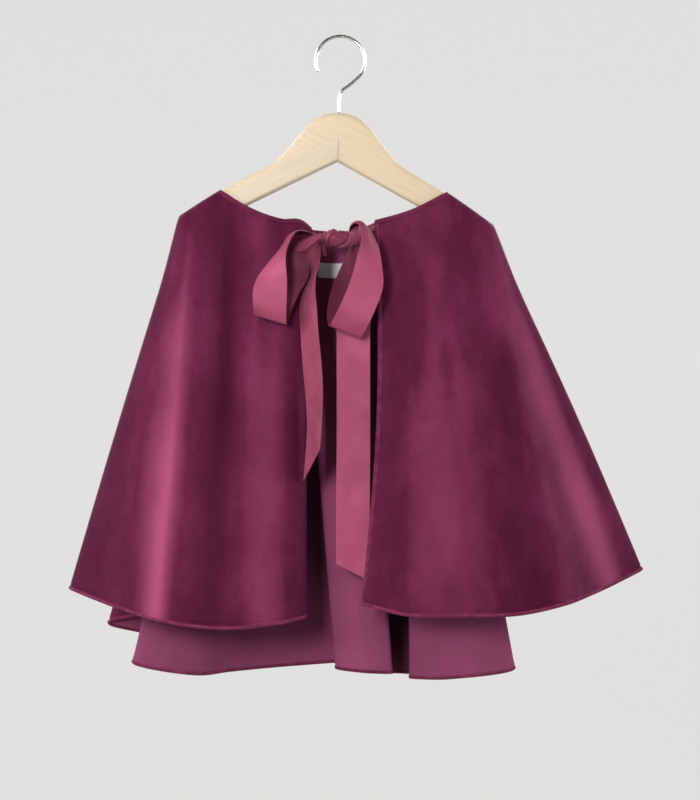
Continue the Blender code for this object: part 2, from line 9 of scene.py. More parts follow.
import bpy
import numpy as np
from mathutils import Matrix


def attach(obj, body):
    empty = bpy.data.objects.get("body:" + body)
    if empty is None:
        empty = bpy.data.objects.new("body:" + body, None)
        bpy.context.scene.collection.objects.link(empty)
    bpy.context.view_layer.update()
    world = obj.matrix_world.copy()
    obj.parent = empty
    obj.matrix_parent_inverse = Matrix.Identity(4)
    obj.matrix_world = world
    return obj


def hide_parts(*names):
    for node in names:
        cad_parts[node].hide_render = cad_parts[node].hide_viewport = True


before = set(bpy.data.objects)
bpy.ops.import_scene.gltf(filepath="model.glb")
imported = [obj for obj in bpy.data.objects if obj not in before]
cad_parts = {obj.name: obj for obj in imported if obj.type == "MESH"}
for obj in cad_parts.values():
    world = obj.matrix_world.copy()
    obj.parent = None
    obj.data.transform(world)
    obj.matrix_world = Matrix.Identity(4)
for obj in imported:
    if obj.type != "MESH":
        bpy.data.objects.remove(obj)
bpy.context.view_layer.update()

MM = 0.001

# Driving sizes, as in the solids
CLOTH = 1.6
RIBBON_WIDE = 32.0
SEAM = 0.3
HANGER_ROLL_DEG = 1.6
ARM_THICK = 14.0
ARM_END = 150.0
ARM_END_ROUND = 9.0
ARM_ROOM = 0.6
ARM_BOTTOM_START = -120.3
ARM_BOTTOM_FALL = 0.52
ARM_TOP_ROUND = 6.5
ARM_BOTTOM_ROUND = 3.0
FACET_START = -98.0
FACET_FALL = 0.474
HOOK_WIRE = 3.2
HOOK_RADIUS = 24.0
SHANK_TOP = -60.0
NECK_OUT = {-1: 113.5, 1: 107.5}
BACK_NECK_SAG = 38.0
BACK_NECK_DEPTH = 4.0
ARM_PASSED = 0.05
BACK_FLARE = 0.85
LATE_FOLDS = 0.3
LATE_OVER = 0.2
SETTLE = 0.12
TYPICAL_DROP = 400.0
RIDGE_INSIDE = 30.0

# Sizes that only the looks have, and ones that differ from those of the solids
RIBBON = 0.7
LABEL = 0.8
FACET_PROUD = 1.8
FACET_LIP = 0.4
CREASE_CLEAR = 0.5
ARM_TIP_LEAST = 0.04
ARM_SHARP_DEG = 35.0
GRAIN_DEG = -27.5
JOINT_SUNK = 0.006
JOINT_CLEAR = 0.1
# The hook's arc from its free end, its bend back to the shank, and how round its free end is
HOOK_TURN_DEG = (208.0, -32.0)
HOOK_BEND = ((10.5, 0.0, -45.0), (2.0, 0.0, -52.0))
HOOK_END_ROUND = 0.9

# Half of the hanger's top edge: distance out from the middle, height
HANGER_TOP = (
    (0.0, -73.0),
    (10.0, -74.2),
    (20.0, -78.2),
    (30.0, -86.5),
    (40.0, -98.5),
    (50.0, -111.0),
    (62.0, -123.0),
    (82.0, -134.8),
    (103.0, -147.2),
    (125.0, -161.2),
    (150.0, -178.5),
)

# Neck edge of each front: station, x, z, how far it hangs in front of the hanger arm
NECK_LEFT = (
    (0.00, -25.0, -190.0, -2.4),
    (0.10, -35.5, -181.0, 6.0),
    (0.33, -57.0, -178.3, 7.0),
    (0.55, -77.0, -172.0, 5.5),
    (0.78, -98.0, -161.5, 2.1),
)
NECK_RIGHT = (
    (6.25, 88.0, -159.3, 2.0),
    (6.50, 72.0, -167.4, 4.5),
    (6.75, 54.5, -173.8, 6.0),
    (7.00, 33.0, -179.5, 6.0),
)

# Sections of the cape, round from the left front's free edge to the right front's: the point where the
# section meets the hem, its station along the top edge, and how far its line bows sideways.
# Stations: 1 and 3 left neck point, 2 left end of the hanger, 4 and 6 right neck point, 5 right end
# name, hem x, hem y, hem z, station, bow
SECTIONS = (
    ("left edge turned in", -42.0, -38.0, -555.0, 0.00, 0.0),
    ("left roll", -33.0, -52.0, -557.0, 0.10, 0.0),
    ("left inner", -52.0, -67.0, -561.0, 0.28, 0.0),
    ("left middle", -95.0, -74.0, -566.0, 0.62, 0.0),
    ("left neck", -135.0, -71.0, -565.0, 1.00, 0.0),
    ("left ridge", -167.0, -66.0, -560.5, 1.60, 0.0),
    ("left slope", -187.0, -46.0, -558.0, 1.75, 0.0),
    ("left flap", -226.0, -25.0, -547.5, 1.90, -1.0),
    ("left side", -263.5, 0.0, -535.5, 2.00, -1.5),
    ("left finger", -187.0, 20.0, -559.0, 2.22, -1.0),
    ("left ripple", -231.0, 37.0, -574.0, 2.42, 0.0),
    ("left back", -192.0, 47.0, -586.0, 2.56, 0.0),
    ("left cup", -150.0, 28.0, -597.0, 2.72, 0.0),
    ("left pleat", -202.0, -4.0, -607.0, 3.00, 0.0),
    ("back ridge", -139.0, -14.0, -617.5, 3.11, 0.0),
    ("back valley", -107.0, -3.0, -615.5, 3.19, 0.0),
    ("back middle", -51.0, 13.0, -612.5, 3.27, 0.0),
    ("back tuck", 16.0, 16.0, -609.0, 3.33, 0.0),
    ("pleat left", -4.5, -3.0, -612.5, 3.38, 0.0),
    ("pleat middle", 20.0, -17.0, -614.5, 3.50, 0.0),
    ("pleat brink", 43.0, -12.8, -616.2, 3.61, 0.0),
    ("pleat right", 49.0, -10.0, -616.5, 3.64, 0.0),
    ("pleat wall", 46.5, 12.0, -619.0, 3.67, 0.0),
    ("recess", 50.0, 42.0, -623.5, 3.71, 0.0),
    ("recess end", 66.5, 43.0, -624.5, 3.76, 0.0),
    ("panel wall", 71.0, 12.0, -622.5, 3.80, 0.0),
    ("panel left", 67.5, -11.0, -621.0, 3.83, 0.0),
    ("panel brink", 74.0, -14.5, -621.0, 3.86, 0.0),
    ("panel middle", 104.0, -22.0, -620.0, 3.92, 0.0),
    ("panel right", 168.0, -8.0, -612.0, 4.00, 0.0),
    ("right tuck", 117.0, 14.0, -596.0, 4.35, 0.0),
    ("right back", 184.0, 25.0, -554.0, 4.62, 0.0),
    ("right flare", 243.0, 17.0, -532.0, 4.84, 2.0),
    ("right side", 292.5, 0.0, -517.0, 5.00, 3.5),
    ("right flap", 269.0, -14.0, -527.5, 5.08, 2.5),
    ("right slope", 240.0, -38.0, -537.2, 5.22, 1.5),
    ("right ridge", 212.0, -59.0, -545.0, 5.45, 0.0),
    ("right neck", 167.0, -69.0, -553.5, 6.00, 0.0),
    ("right middle", 115.0, -75.0, -554.5, 6.35, 0.0),
    ("right inner", 64.0, -73.0, -554.0, 6.68, 0.0),
    ("right edge", 20.0, -62.0, -544.5, 7.00, 8.5),
)
NAMES = [row[0] for row in SECTIONS]

# Creases laid over the sections: the section that each is counted from, how many sections on it starts and
# its drop there, the same for its end, its half width and how far it stands out, or in where negative
CREASES = (
    ("left ridge", 0.05, 0.10, 0.10, 1.05, 9.0, 1.6),
    ("left ridge", -0.45, 0.06, -0.55, 0.95, 13.0, -1.4),
    ("left neck", -0.10, 0.02, -0.25, 0.62, 11.0, 1.2),
    ("left middle", 0.35, 0.04, 0.25, 1.05, 15.0, -1.6),
    ("left middle", -0.20, 0.05, -0.10, 0.80, 12.0, 1.3),
    ("left inner", 0.35, 0.03, 0.55, 0.45, 8.0, -1.1),
    ("left slope", 0.55, 0.30, 0.75, 1.05, 9.0, -1.0),
    ("left flap", 0.30, 0.12, 0.55, 0.85, 10.0, 0.9),
    ("right ridge", -0.20, 0.12, -0.15, 1.05, 12.0, 1.2),
    ("right ridge", 0.45, 0.08, 0.50, 0.90, 16.0, -1.6),
    ("right neck", 0.25, 0.03, 0.35, 0.70, 13.0, 1.3),
    ("right middle", 0.10, 0.05, -0.25, 1.00, 15.0, -1.2),
    ("right middle", 0.60, 0.02, 0.50, 0.55, 10.0, 1.0),
    ("right inner", 0.30, 0.05, 0.15, 0.95, 11.0, -1.1),
    ("right slope", -0.35, 0.20, -0.55, 0.95, 9.0, -0.9),
    ("back ridge", 0.45, 0.20, 0.50, 0.95, 6.0, -0.9),
    ("back valley", 0.40, 0.10, 0.55, 1.05, 9.0, 1.0),
    ("back middle", 0.45, 0.08, 0.40, 0.90, 8.0, -1.0),
    ("pleat middle", 0.30, 0.25, 0.40, 1.05, 6.0, 0.8),
    ("panel middle", 0.35, 0.15, 0.45, 1.00, 10.0, -1.0),
    ("right tuck", 0.45, 0.10, 0.55, 0.95, 12.0, 1.3),
    ("right back", 0.40, 0.12, 0.50, 1.05, 11.0, -1.3),
    ("right flare", 0.35, 0.15, 0.45, 0.90, 9.0, 1.0),
    ("left ripple", 0.50, 0.20, 0.45, 1.00, 7.0, 0.8),
)

# Stretches of the pile shown lighter or darker, in part from its brushing and in part painted sheen
# highlight and
# painted shade: start and end as for a crease, half width towards the previous section and towards the next
# one, and how much lighter the pile shows there, or darker where that is negative
NAP_AND_PAINTED_LIGHT = (
    ("left ridge", 0.28, 0.14, 0.38, 1.30, 12.0, 22.0, 0.46),
    ("left ridge", 0.34, 0.45, 0.44, 1.60, 14.0, 23.0, 0.34),
    ("left neck", -0.05, -0.10, -0.40, 1.20, 22.0, 28.0, -0.74),
    ("left inner", 0.55, 0.22, 0.35, 1.30, 20.0, 26.0, 0.30),
    ("left inner", 0.75, -0.25, 0.90, 0.25, 14.0, 16.0, 0.17),
    ("left roll", 0.10, 0.05, 0.20, 1.20, 14.0, 12.0, -0.50),
    ("left side", -0.05, -0.10, 0.00, 1.30, 34.0, 20.0, -0.62),
    ("right side", 0.05, -0.10, 0.00, 1.30, 20.0, 22.0, -0.45),
    ("right middle", 0.00, -0.40, 0.00, 1.60, 110.0, 90.0, 0.09),
    ("right flap", 0.20, 0.15, 0.35, 1.30, 20.0, 18.0, 0.34),
    ("right flap", 0.25, 0.60, 0.30, 1.70, 22.0, 18.0, 0.32),
    ("right ridge", 0.25, 0.22, 0.65, 1.20, 15.0, 24.0, -0.50),
    ("right ridge", 0.60, -0.10, 0.80, 0.42, 12.0, 10.0, -0.30),
    ("right neck", 0.30, 0.08, 0.15, 0.46, 9.0, 13.0, -0.34),
    ("right neck", 0.75, 0.22, 0.90, 0.60, 8.0, 7.0, -0.24),
    ("right middle", 0.55, 0.10, 0.75, 0.52, 10.0, 9.0, -0.36),
    ("right inner", 0.05, 0.02, -0.10, 0.34, 8.0, 10.0, -0.28),
    ("right inner", 0.30, 0.40, 0.20, 0.85, 7.0, 9.0, -0.26),
    ("left middle", 0.60, 0.30, 0.75, 0.75, 9.0, 8.0, -0.26),
    ("left neck", 0.25, 0.10, 0.10, 0.48, 8.0, 9.0, 0.22),
    ("left flap", 0.10, 0.30, 0.25, 0.75, 8.0, 9.0, 0.18),
    ("right middle", 0.20, 0.20, 0.25, 1.05, 30.0, 30.0, 0.18),
    ("right inner", 0.40, -0.05, 0.45, 1.20, 14.0, 12.0, -0.14),
    ("left back", -0.20, 0.10, 0.10, 1.20, 14.0, 20.0, 0.35),
    ("left cup", 0.30, 0.15, 0.10, 1.20, 18.0, 14.0, -0.40),
    ("back valley", 0.10, 0.00, -0.10, 1.10, 16.0, 22.0, -0.35),
    ("back middle", 0.30, 0.20, 0.45, 1.25, 18.0, 16.0, 0.30),
    ("recess", 0.00, 0.10, 0.10, 1.20, 20.0, 14.0, -0.40),
    ("panel middle", 0.10, 0.15, 0.35, 1.20, 22.0, 18.0, 0.28),
    ("right tuck", 0.10, 0.05, -0.05, 1.10, 18.0, 20.0, -0.40),
    ("right back", 0.30, 0.10, 0.20, 1.25, 20.0, 15.0, 0.38),
)

# Painted shade in the deep folds of the wrong side and painted light on the pleat, laid in the same way
INSIDE_PAINTED_SHADE_AND_LIGHT = (
    ("recess", 0.50, 0.30, 0.50, 1.12, 30.0, 34.0, -0.92),
    ("back middle", 0.55, 0.25, 0.62, 0.95, 24.0, 30.0, -0.85),
    ("back ridge", -0.10, 0.50, 0.00, 1.40, 60.0, 50.0, -0.30),
    ("pleat middle", 0.00, 0.45, 0.10, 1.40, 25.0, 25.0, 0.35),
)

# Share of the drop over which a crease or a stretch of painted light and pile fades in and out
LINE_FADE = 0.22

# Ribbon stretches: x, y, z, share of the full width, tilt and turn of the width in degrees
LOOP_LEFT = (
    (-23.0, -28.0, -197.0, 0.26, 90, -135),
    (-31.0, -29.0, -194.0, 0.38, 72, -125),
    (-39.5, -31.0, -192.3, 0.48, 47, -108),
    (-47.5, -33.5, -196.0, 0.52, 33, -84),
    (-53.5, -37.0, -206.0, 0.58, 20, -74),
    (-60.5, -44.0, -222.0, 0.80, 8, -50),
    (-66.5, -51.0, -246.0, 1.00, 6, -8),
    (-67.0, -52.0, -267.0, 1.00, 12, 0),
    (-66.5, -44.0, -276.0, 1.00, 17, -8),
    (-62.5, -36.0, -265.5, 1.00, 21, -18),
    (-54.5, -33.0, -247.0, 1.00, 22, -20),
    (-43.5, -31.0, -228.0, 0.92, 24, -16),
    (-40.5, -29.0, -212.0, 0.74, 32, -6),
    (-35.0, -27.5, -203.0, 0.44, 36, 0),
)
LOOP_RIGHT = (
    (10.5, -28.0, -191.5, 0.28, 0, 62),
    (13.0, -33.0, -185.6, 0.34, 0, 62),
    (19.0, -38.5, -184.6, 0.40, 0, 58),
    (24.0, -43.0, -191.5, 0.46, 0, 45),
    (27.0, -46.5, -204.0, 0.55, 2, 22),
    (27.0, -49.0, -218.0, 0.72, 6, 5),
    (25.0, -51.0, -240.5, 0.97, 14, 0),
    (18.0, -50.0, -260.5, 1.00, 20, 0),
    (10.0, -48.0, -277.0, 1.00, 22, 0),
    (3.5, -42.0, -287.5, 1.00, 22, 8),
    (1.0, -36.5, -276.0, 1.00, 21, 20),
    (3.0, -35.5, -260.0, 1.00, 18, 24),
    (8.0, -35.0, -241.0, 0.92, 14, 24),
    (12.5, -32.0, -220.0, 0.62, 8, 16),
    (13.5, -27.0, -202.8, 0.28, -10, 0),
)
TAIL_LEFT = (
    (-23.5, -28.0, -201.0, 0.26, -14, 0),
    (-26.0, -30.5, -211.0, 0.46, -16, -8),
    (-27.0, -33.5, -219.0, 0.54, -14, -36),
    (-25.4, -38.0, -229.0, 0.74, -8, -74),
    (-30.0, -43.5, -247.0, 0.95, 0, -68),
    (-31.0, -46.0, -265.0, 1.00, 0, -59),
    (-30.0, -48.0, -285.0, 1.00, 0, -58),
    (-27.5, -50.0, -316.0, 1.00, 0, -56),
    (-25.5, -52.5, -342.0, 1.00, 0, -58),
    (-25.0, -56.0, -376.0, 1.00, 0, -64),
    (-28.5, -61.0, -429.0, 1.00, 0, -65),
)
TAIL_RIGHT = (
    (11.0, -23.0, -199.5, 0.24, 0, 0),
    (12.5, -21.5, -212.0, 0.32, 0, 0),
    (13.0, -22.0, -228.0, 0.48, 0, 0),
    (12.0, -27.0, -256.0, 1.00, 0, 0),
    (12.0, -29.0, -295.0, 1.00, 0, 0),
    (12.0, -36.0, -400.0, 1.00, 0, 0),
    (11.5, -40.0, -466.0, 1.00, 0, 0),
    (11.5, -44.0, -524.0, 1.00, 0, 0),
)
TIE_LEFT = (
    (-27.6, -11.2, -197.0, 0.28, 90, 0),
    (-26.8, -15.0, -198.0, 0.28, 90, 0),
    (-25.5, -19.4, -199.0, 0.28, 90, 0),
)
TIE_RIGHT = (
    (32.3, -14.6, -186.6, 0.34, 90, 0),
    (25.0, -19.5, -190.0, 0.34, 90, 0),
    (17.8, -24.3, -193.6, 0.30, 90, 0),
)
# How much of a tail's length its left and right edges run, where the end is cut on the slant
TAIL_LEFT_CUT = (1.0, 0.87)
TAIL_RIGHT_CUT = (0.95, 1.0)
STRAIGHT = (1.0, 1.0)
# How far off the ribbon's middle its lengthwise fold lies, and how sharply that fold rises
FOLD_OFF = -0.15
FOLD_POWER = 1.6
# The width share at which a ribbon starts to take painted shade as it is gathered, and over how much more
# it does
GATHER_SHADE_FROM = 0.88
GATHER_SHADE_OVER = 0.62
# How far the ribbon's edges curl, how far apart its ribs are and the angle at which it looks sharp
EDGE_CURL = 0.15
RIB_EVERY = 1.1
RIBBON_SHARP_DEG = 45.0

# The knot, thin at its pinch: x, y, z, half height, half depth
KNOT = (
    (-43.0, -26.5, -209.0, 2.0, 2.0),
    (-38.5, -27.3, -207.0, 5.0, 4.4),
    (-32.0, -28.0, -203.4, 6.3, 5.8),
    (-25.5, -28.2, -199.4, 5.6, 6.4),
    (-20.5, -28.0, -197.2, 4.4, 6.2),
    (-17.0, -28.0, -196.8, 4.2, 6.2),
    (-13.0, -28.0, -195.8, 5.8, 7.4),
    (-8.0, -28.0, -196.2, 7.4, 8.2),
    (-2.0, -27.5, -198.0, 8.5, 8.2),
    (6.0, -26.8, -198.6, 8.4, 7.4),
    (11.0, -26.5, -196.2, 6.8, 6.4),
    (14.2, -26.8, -190.6, 5.8, 5.6),
    (15.8, -27.0, -185.2, 2.4, 2.4),
)
# Folds across the knot: share along it on the front, how far it slants round, half width as a share, and
# its depth, or its height where that is negative
KNOT_PINCHES = (
    (0.330, 0.020, 0.012, 0.5),
    (0.365, 0.030, 0.010, 0.7),
    (0.395, 0.036, 0.009, 0.9),
    (0.425, 0.030, 0.009, 0.8),
    (0.455, 0.036, 0.010, 1.1),
    (0.512, 0.045, 0.020, -0.9),
    (0.552, 0.050, 0.012, 0.9),
)
# Folds along the knot: share and angle round it in degrees, at its start and its end, half width, depth
KNOT_FOLDS = (
    (0.02, -96.0, 0.36, -74.0, 15.0, 1.4),
    (0.10, -150.0, 0.40, -125.0, 16.0, 0.9),
    (0.50, -118.0, 0.70, -150.0, 14.0, 1.0),
    (0.63, -172.0, 0.82, -56.0, 12.0, 2.0),
    (0.52, -58.0, 0.78, -84.0, 13.0, 0.8),
    (0.50, 60.0, 0.95, 95.0, 18.0, 1.5),
    (0.08, 110.0, 0.46, 75.0, 20.0, 1.6),
)
# Shares of the knot over which a fold along it starts and stops, and over which all folds fade at its ends
FOLD_IN = 0.06
FOLD_OUT = 0.10
KNOT_FADE = 0.12
# The end of the wrap that shows under the pinch
WRAP_END = (
    (-17.0, -24.5, -201.5, 0.10, 0, 10),
    (-16.2, -25.5, -207.0, 0.12, 0, 10),
    (-15.0, -25.0, -214.0, 0.10, 0, 10),
)

# The label: stations across the back neck and shares of the drop
LABEL_STATIONS = (3.425, 3.615)
LABEL_DROP = (0.072, 0.106)

# Neck band and hem
BAND_TALL = 5.5
BAND_OUT = 0.9
# Painted light on the whole neck band
BAND_PAINTED_LIGHT = 0.14
BAND_LIFT = 0.4
ROLL_SET_IN = 0.6
HEM_REACH = 8.0
HEM_HALF = 1.8
HEM_OUT = 0.75
EDGE_HALF = 2.3
EDGE_OUT = 0.85
EDGE_INTO = 0.08
HEM_GROOVE = 4.2
GROOVE_WIDE = 1.1
GROOVE_DEEP = 0.40
WRAP_EVERY = 2.1
WRAP_DEEP = 0.10
TUBE_STEP = 0.7

# Fineness of the meshes
RIDGE_POINTS = 40
STATION_POINTS = 6000
TOP_ROWS = 16
HEM_ROWS = 14
NECK_COLUMNS = 25
HEM_COLUMNS = 60
EDGE_ROWS = 160
BAND_COLUMNS = 160
LABEL_COLUMNS = 40
LABEL_ROWS = 20
RIBBON_POINTS = 400
RIBBON_COLUMNS = 25
KNOT_RINGS = 240
KNOT_SIDES = 96
ROLL_SIDES = 12
BAND_SIDES = 16
ARM_RINGS = 90
ARM_TIP_RINGS = 16
ARM_CORNER_STEPS = 8
HOOK_POINTS = 25
HOOK_RINGS = 200
HOOK_SIDES = 24
ROOM_BEND_RINGS = 16
ROOM_SIDES = 96
# Where the cloth's rows and columns lie closer: share of the drop from the top, distance from the hem,
# stations on both sides of a neck point, and the least step between two columns
TOP_NEAR = 0.05
HEM_NEAR = 10.0
NECK_NEAR = 0.06
LEAST_STEP = 0.012

# Cut pieces: name, first and last section, columns to a section, rows, flat size in metres, area in square
# metres
PANELS = (
    ("front_left", "left edge turned in", "left side", 26, 110, (0.29, 0.42), 0.081),
    ("front_right", "right side", "right edge", 28, 110, (0.30, 0.41), 0.078),
    ("back", "left side", "right side", 15, 90, (0.97, 0.50), 0.269),
)

# Neck bands: name, first and last station
NECK_BANDS = (
    ("left", 0.04, 0.99),
    ("back", 3.004, 3.996),
    ("right", 6.01, 7.0),
)

# Lights: name, place in metres, width, height, watts, colour
LIGHTS = (
    ("key", (-0.56, -1.70, 0.03), 0.40, 0.55, 20.5, (1.0, 0.985, 0.965)),
    ("right side", (1.47, -0.33, 0.19), 0.7, 1.2, 17.5, (1.0, 0.985, 0.96)),
    ("left side", (-1.47, -0.33, 0.19), 0.7, 1.2, 15.5, (1.0, 0.985, 0.97)),
    ("front left", (-1.23, -0.88, 0.19), 0.7, 1.2, 5.5, (1.0, 0.985, 0.97)),
    ("right behind", (1.3, 1.5, 0.4), 0.9, 1.5, 20.0, (1.0, 0.99, 0.97)),
    ("left behind", (-1.3, 1.5, 0.4), 0.9, 1.5, 18.0, (1.0, 0.99, 0.97)),
)
LIGHT_AIM = (0.0, -0.02, -0.36)
ROOM_LIGHT = 0.05
ROOM_LIGHT_COLOUR = (1.0, 0.998, 0.99, 1.0)

# Camera and picture
PICTURE = (700, 800)
MM_PER_PIXEL = 0.973
CAMERA_AWAY = 1800.0
CAMERA_X = 8.8
CAMERA_Z = -352.2
SENSOR = 36.0
CLIP = (0.05, 50.0)
FLOOR_Z = -1700.0
ROOM_RADIUS = 4200.0
ROOM_BEND = 1400.0
ROOM_TALL = 5200.0
ROOM_COLOUR = (0.20, 0.199, 0.196, 1.0)
# Glow of the wall behind the viewer and of the wall behind the cape, and the shares of the room's depth
# between which it changes
ROOM_NEAR = (0.09, 0.09, 0.09)
ROOM_FAR = (0.65, 0.645, 0.635)
ROOM_CHANGE = (0.15, 0.85)


def slopes(knots, values):
    """Slope of a smooth curve at each of its points."""
    steps = np.diff(knots)[:, None]
    rises = np.diff(values, axis=0) / steps
    middle = (rises[:-1] * steps[1:] + rises[1:] * steps[:-1]) / (steps[1:] + steps[:-1])
    return np.concatenate([rises[:1], middle, rises[-1:]])


def even_slopes(knots, values):
    """Slope at each point that keeps a rising curve from turning back."""
    steps = np.diff(knots)
    rises = np.diff(values) / steps
    inner = 2.0 / (1.0 / np.maximum(rises[:-1], 1e-9) + 1.0 / np.maximum(rises[1:], 1e-9))
    return np.concatenate([rises[:1], inner, rises[-1:]])


def hermite(knots, values, tangents, at):
    """The cubic curve through values, with these tangents, at the places given."""
    i = np.clip(np.searchsorted(knots, at, side="right") - 1, 0, len(knots) - 2)
    width = (knots[i + 1] - knots[i])[:, None]
    f = (at - knots[i])[:, None] / width
    start = (1 + 2 * f) * (1 - f) ** 2 * values[i] + f * (1 - f) ** 2 * width * tangents[i]
    end = f * f * (3 - 2 * f) * values[i + 1] + f * f * (f - 1) * width * tangents[i + 1]
    return start + end


def smooth_path(knots, values, at):
    return hermite(knots, values, slopes(knots, values), at)


def chord_knots(points):
    """Knots along a path that keep a smooth curve from looping at its tight turns."""
    steps = np.sqrt(np.linalg.norm(np.diff(points, axis=0), axis=1))
    return np.concatenate([[0.0], np.cumsum(steps)])


def unit(vectors):
    return vectors / np.linalg.norm(vectors, axis=-1, keepdims=True)


def lengths_along(line):
    return np.concatenate([[0.0], np.cumsum(np.linalg.norm(np.diff(line, axis=0), axis=1))])


def rolled(points):
    """Points of the upright hanger turned about the hook's bearing."""
    roll = math.radians(HANGER_ROLL_DEG)
    x, y, z = points[..., 0], points[..., 1], points[..., 2]
    turned_x = x * math.cos(roll) + z * math.sin(roll)
    turned_z = z * math.cos(roll) - x * math.sin(roll)
    return np.stack([turned_x, y, turned_z], axis=-1)


def hanger_top(out):
    table = np.array(HANGER_TOP)
    return smooth_path(table[:, 0], table[:, 1:], np.atleast_1d(out))[:, 0]


def hanger_bottom(out):
    return ARM_BOTTOM_START - ARM_BOTTOM_FALL * np.atleast_1d(out)


REACH = ARM_THICK / 2 + ARM_ROOM + CLOTH / 2


def arm_ridge(side):
    """The line in which the cloth's middle rides along the top of one arm, from the neck to the end."""
    out = np.linspace(NECK_OUT[side] - RIDGE_INSIDE, ARM_END, RIDGE_POINTS)
    up = hanger_top(out)
    fall = np.gradient(up, out)
    scale = (ARM_ROOM + CLOTH / 2) / np.hypot(1.0, fall)
    points = np.stack([side * (out - fall * scale), np.zeros_like(out), up + scale], axis=-1)
    return rolled(points)


RIDGES = {-1: arm_ridge(-1), 1: arm_ridge(1)}


def ridge_height(side, x):
    line = RIDGES[side]
    order = np.argsort(line[:, 0])
    return np.interp(x, line[order, 0], line[order, 2])


def ridge_x(side, share):
    """x at a share of the way along an arm, from the neck point to the end."""
    line = RIDGES[side]
    neck = rolled(np.array([side * NECK_OUT[side], 0.0, hanger_top(NECK_OUT[side])[0]]))[0]
    return neck + (line[-1, 0] - neck) * share


def top_edge(station):
    """Points of the cape's top edge, how far round the arm each starts, its reach and side of the arm."""
    points = np.zeros((len(station), 3))
    forward = np.zeros(len(station))
    reach = np.full(len(station), REACH)
    facing = np.where((station > 2) & (station < 5), 1.0, -1.0)
    on_arm = np.zeros(len(station), bool)
    for first, side, away in ((1, -1, 1), (2, -1, -1), (4, 1, 1), (5, 1, -1)):
        here = (station >= first) & (station <= first + 1)
        share = station[here] - first if away > 0 else first + 1 - station[here]
        x = ridge_x(side, share)
        length = abs(ridge_x(side, 1.0) - ridge_x(side, 0.0))
        past = np.clip(1.0 - (1.0 - share) * length / REACH, 0.0, 1.0)
        points[here, 0] = x
        points[here, 2] = ridge_height(side, x)
        reach[here] = REACH * np.sqrt(1.0 - past**2)
        on_arm |= here
    left_neck = np.array([ridge_x(-1, 0.0), ridge_height(-1, ridge_x(-1, 0.0))])
    right_neck = np.array([ridge_x(1, 0.0), ridge_height(1, ridge_x(1, 0.0))])
    left = np.array([*NECK_LEFT, (1.0, *left_neck, 0.0)])
    right = np.array([(6.0, *right_neck, 0.0), *NECK_RIGHT])
    for table, here in ((left, station < 1), (right, station > 6)):
        along = smooth_path(table[:, 0], table[:, 1:], station[here])
        points[here, 0] = along[:, 0]
        points[here, 2] = along[:, 1]
        forward[here] = along[:, 2]
    here = (station > 3) & (station < 4)
    share = station[here] - 3
    sag = 1.0 - (2.0 * share - 1.0) ** 2
    points[here, 0] = left_neck[0] + (right_neck[0] - left_neck[0]) * share
    points[here, 2] = left_neck[1] + (right_neck[1] - left_neck[1]) * share - BACK_NECK_SAG * sag
    forward[here] = BACK_NECK_DEPTH * sag
    side = np.where(points[:, 0] < 0, -1, 1)
    ridge = np.where(side < 0, ridge_height(-1, points[:, 0]), ridge_height(1, points[:, 0]))
    below = np.clip((ridge - points[:, 2]) / REACH, 0.0, 1.0)
    start = np.where(on_arm, 0.0, np.arccos(1.0 - below))
    middle = np.abs(points[:, 0]) < NECK_OUT[1] - RIDGE_INSIDE
    start = np.where(middle & ~on_arm, math.pi / 2, start)
    points[:, 1] = facing * (reach * np.sin(start) + forward)
    return points, start, reach, facing


HEMS = np.array([row[1:4] for row in SECTIONS])
KNOTS = chord_knots(HEMS)
STATIONS = np.array([row[4] for row in SECTIONS])
BOWS = np.array([[row[5]] for row in SECTIONS])


def station_at(knots):
    slope = even_slopes(KNOTS, STATIONS)[:, None]
    return hermite(KNOTS, STATIONS[:, None], slope, knots)[:, 0]


FINE_KNOTS = np.linspace(KNOTS[0], KNOTS[-1], STATION_POINTS)
FINE_STATIONS = station_at(FINE_KNOTS)


def knots_of(stations):
    return np.interp(stations, FINE_STATIONS, FINE_KNOTS)


def section_knot(name, share):
    return np.interp(NAMES.index(name) + share, np.arange(len(KNOTS)), KNOTS)


def cape_points(knots, drops):
    """Middle of the cloth, one row of points down each section line."""
    drop = np.asarray(drops)[None, :]
    hem = smooth_path(KNOTS, HEMS, knots)
    bow = smooth_path(KNOTS, BOWS, knots)
    station = station_at(knots)
    top, start, reach, facing = top_edge(station)
    length = np.linalg.norm(hem - top, axis=1)[:, None]
    start, reach, facing = start[:, None], reach[:, None], facing[:, None]
    leave = (math.pi / 2 - start) * REACH
    angle = np.minimum(start + drop * length / REACH, math.pi / 2)
    hanging = np.clip((drop * length - leave) / (length - leave), 0.0, 1.0)
    near = np.exp(-((drop / SETTLE) ** 2))
    past = drop + (hanging - drop) * near
    behind = np.maximum(past - ARM_PASSED, 0.0) / (1.0 - ARM_PASSED)
    flare = np.where(facing > 0, behind**BACK_FLARE, past)
    from_ends = np.minimum(station - 2.0, 5.0 - station)[:, None]
    late = 1.0 + LATE_FOLDS * np.clip(from_ends / LATE_OVER, 0.0, 1.0)
    x = top[:, :1] + (hem[:, :1] - top[:, :1]) * drop**late + bow * np.sin(math.pi * drop)
    leave_y = top[:, 1:2] + facing * reach * (1.0 - np.sin(start))
    round_y = top[:, 1:2] + facing * reach * (np.sin(angle) - np.sin(start))
    y = round_y + (hem[:, 1:2] - leave_y) * flare
    leave_z = top[:, 2:] - REACH * np.cos(start)
    round_z = top[:, 2:] - REACH * (np.cos(start) - np.cos(angle))
    z = round_z + (hem[:, 2:] - leave_z) * past
    return np.stack([x, y, z], axis=-1)


def bump(distance, half_wide):
    return np.exp(-((distance / half_wide) ** 2))


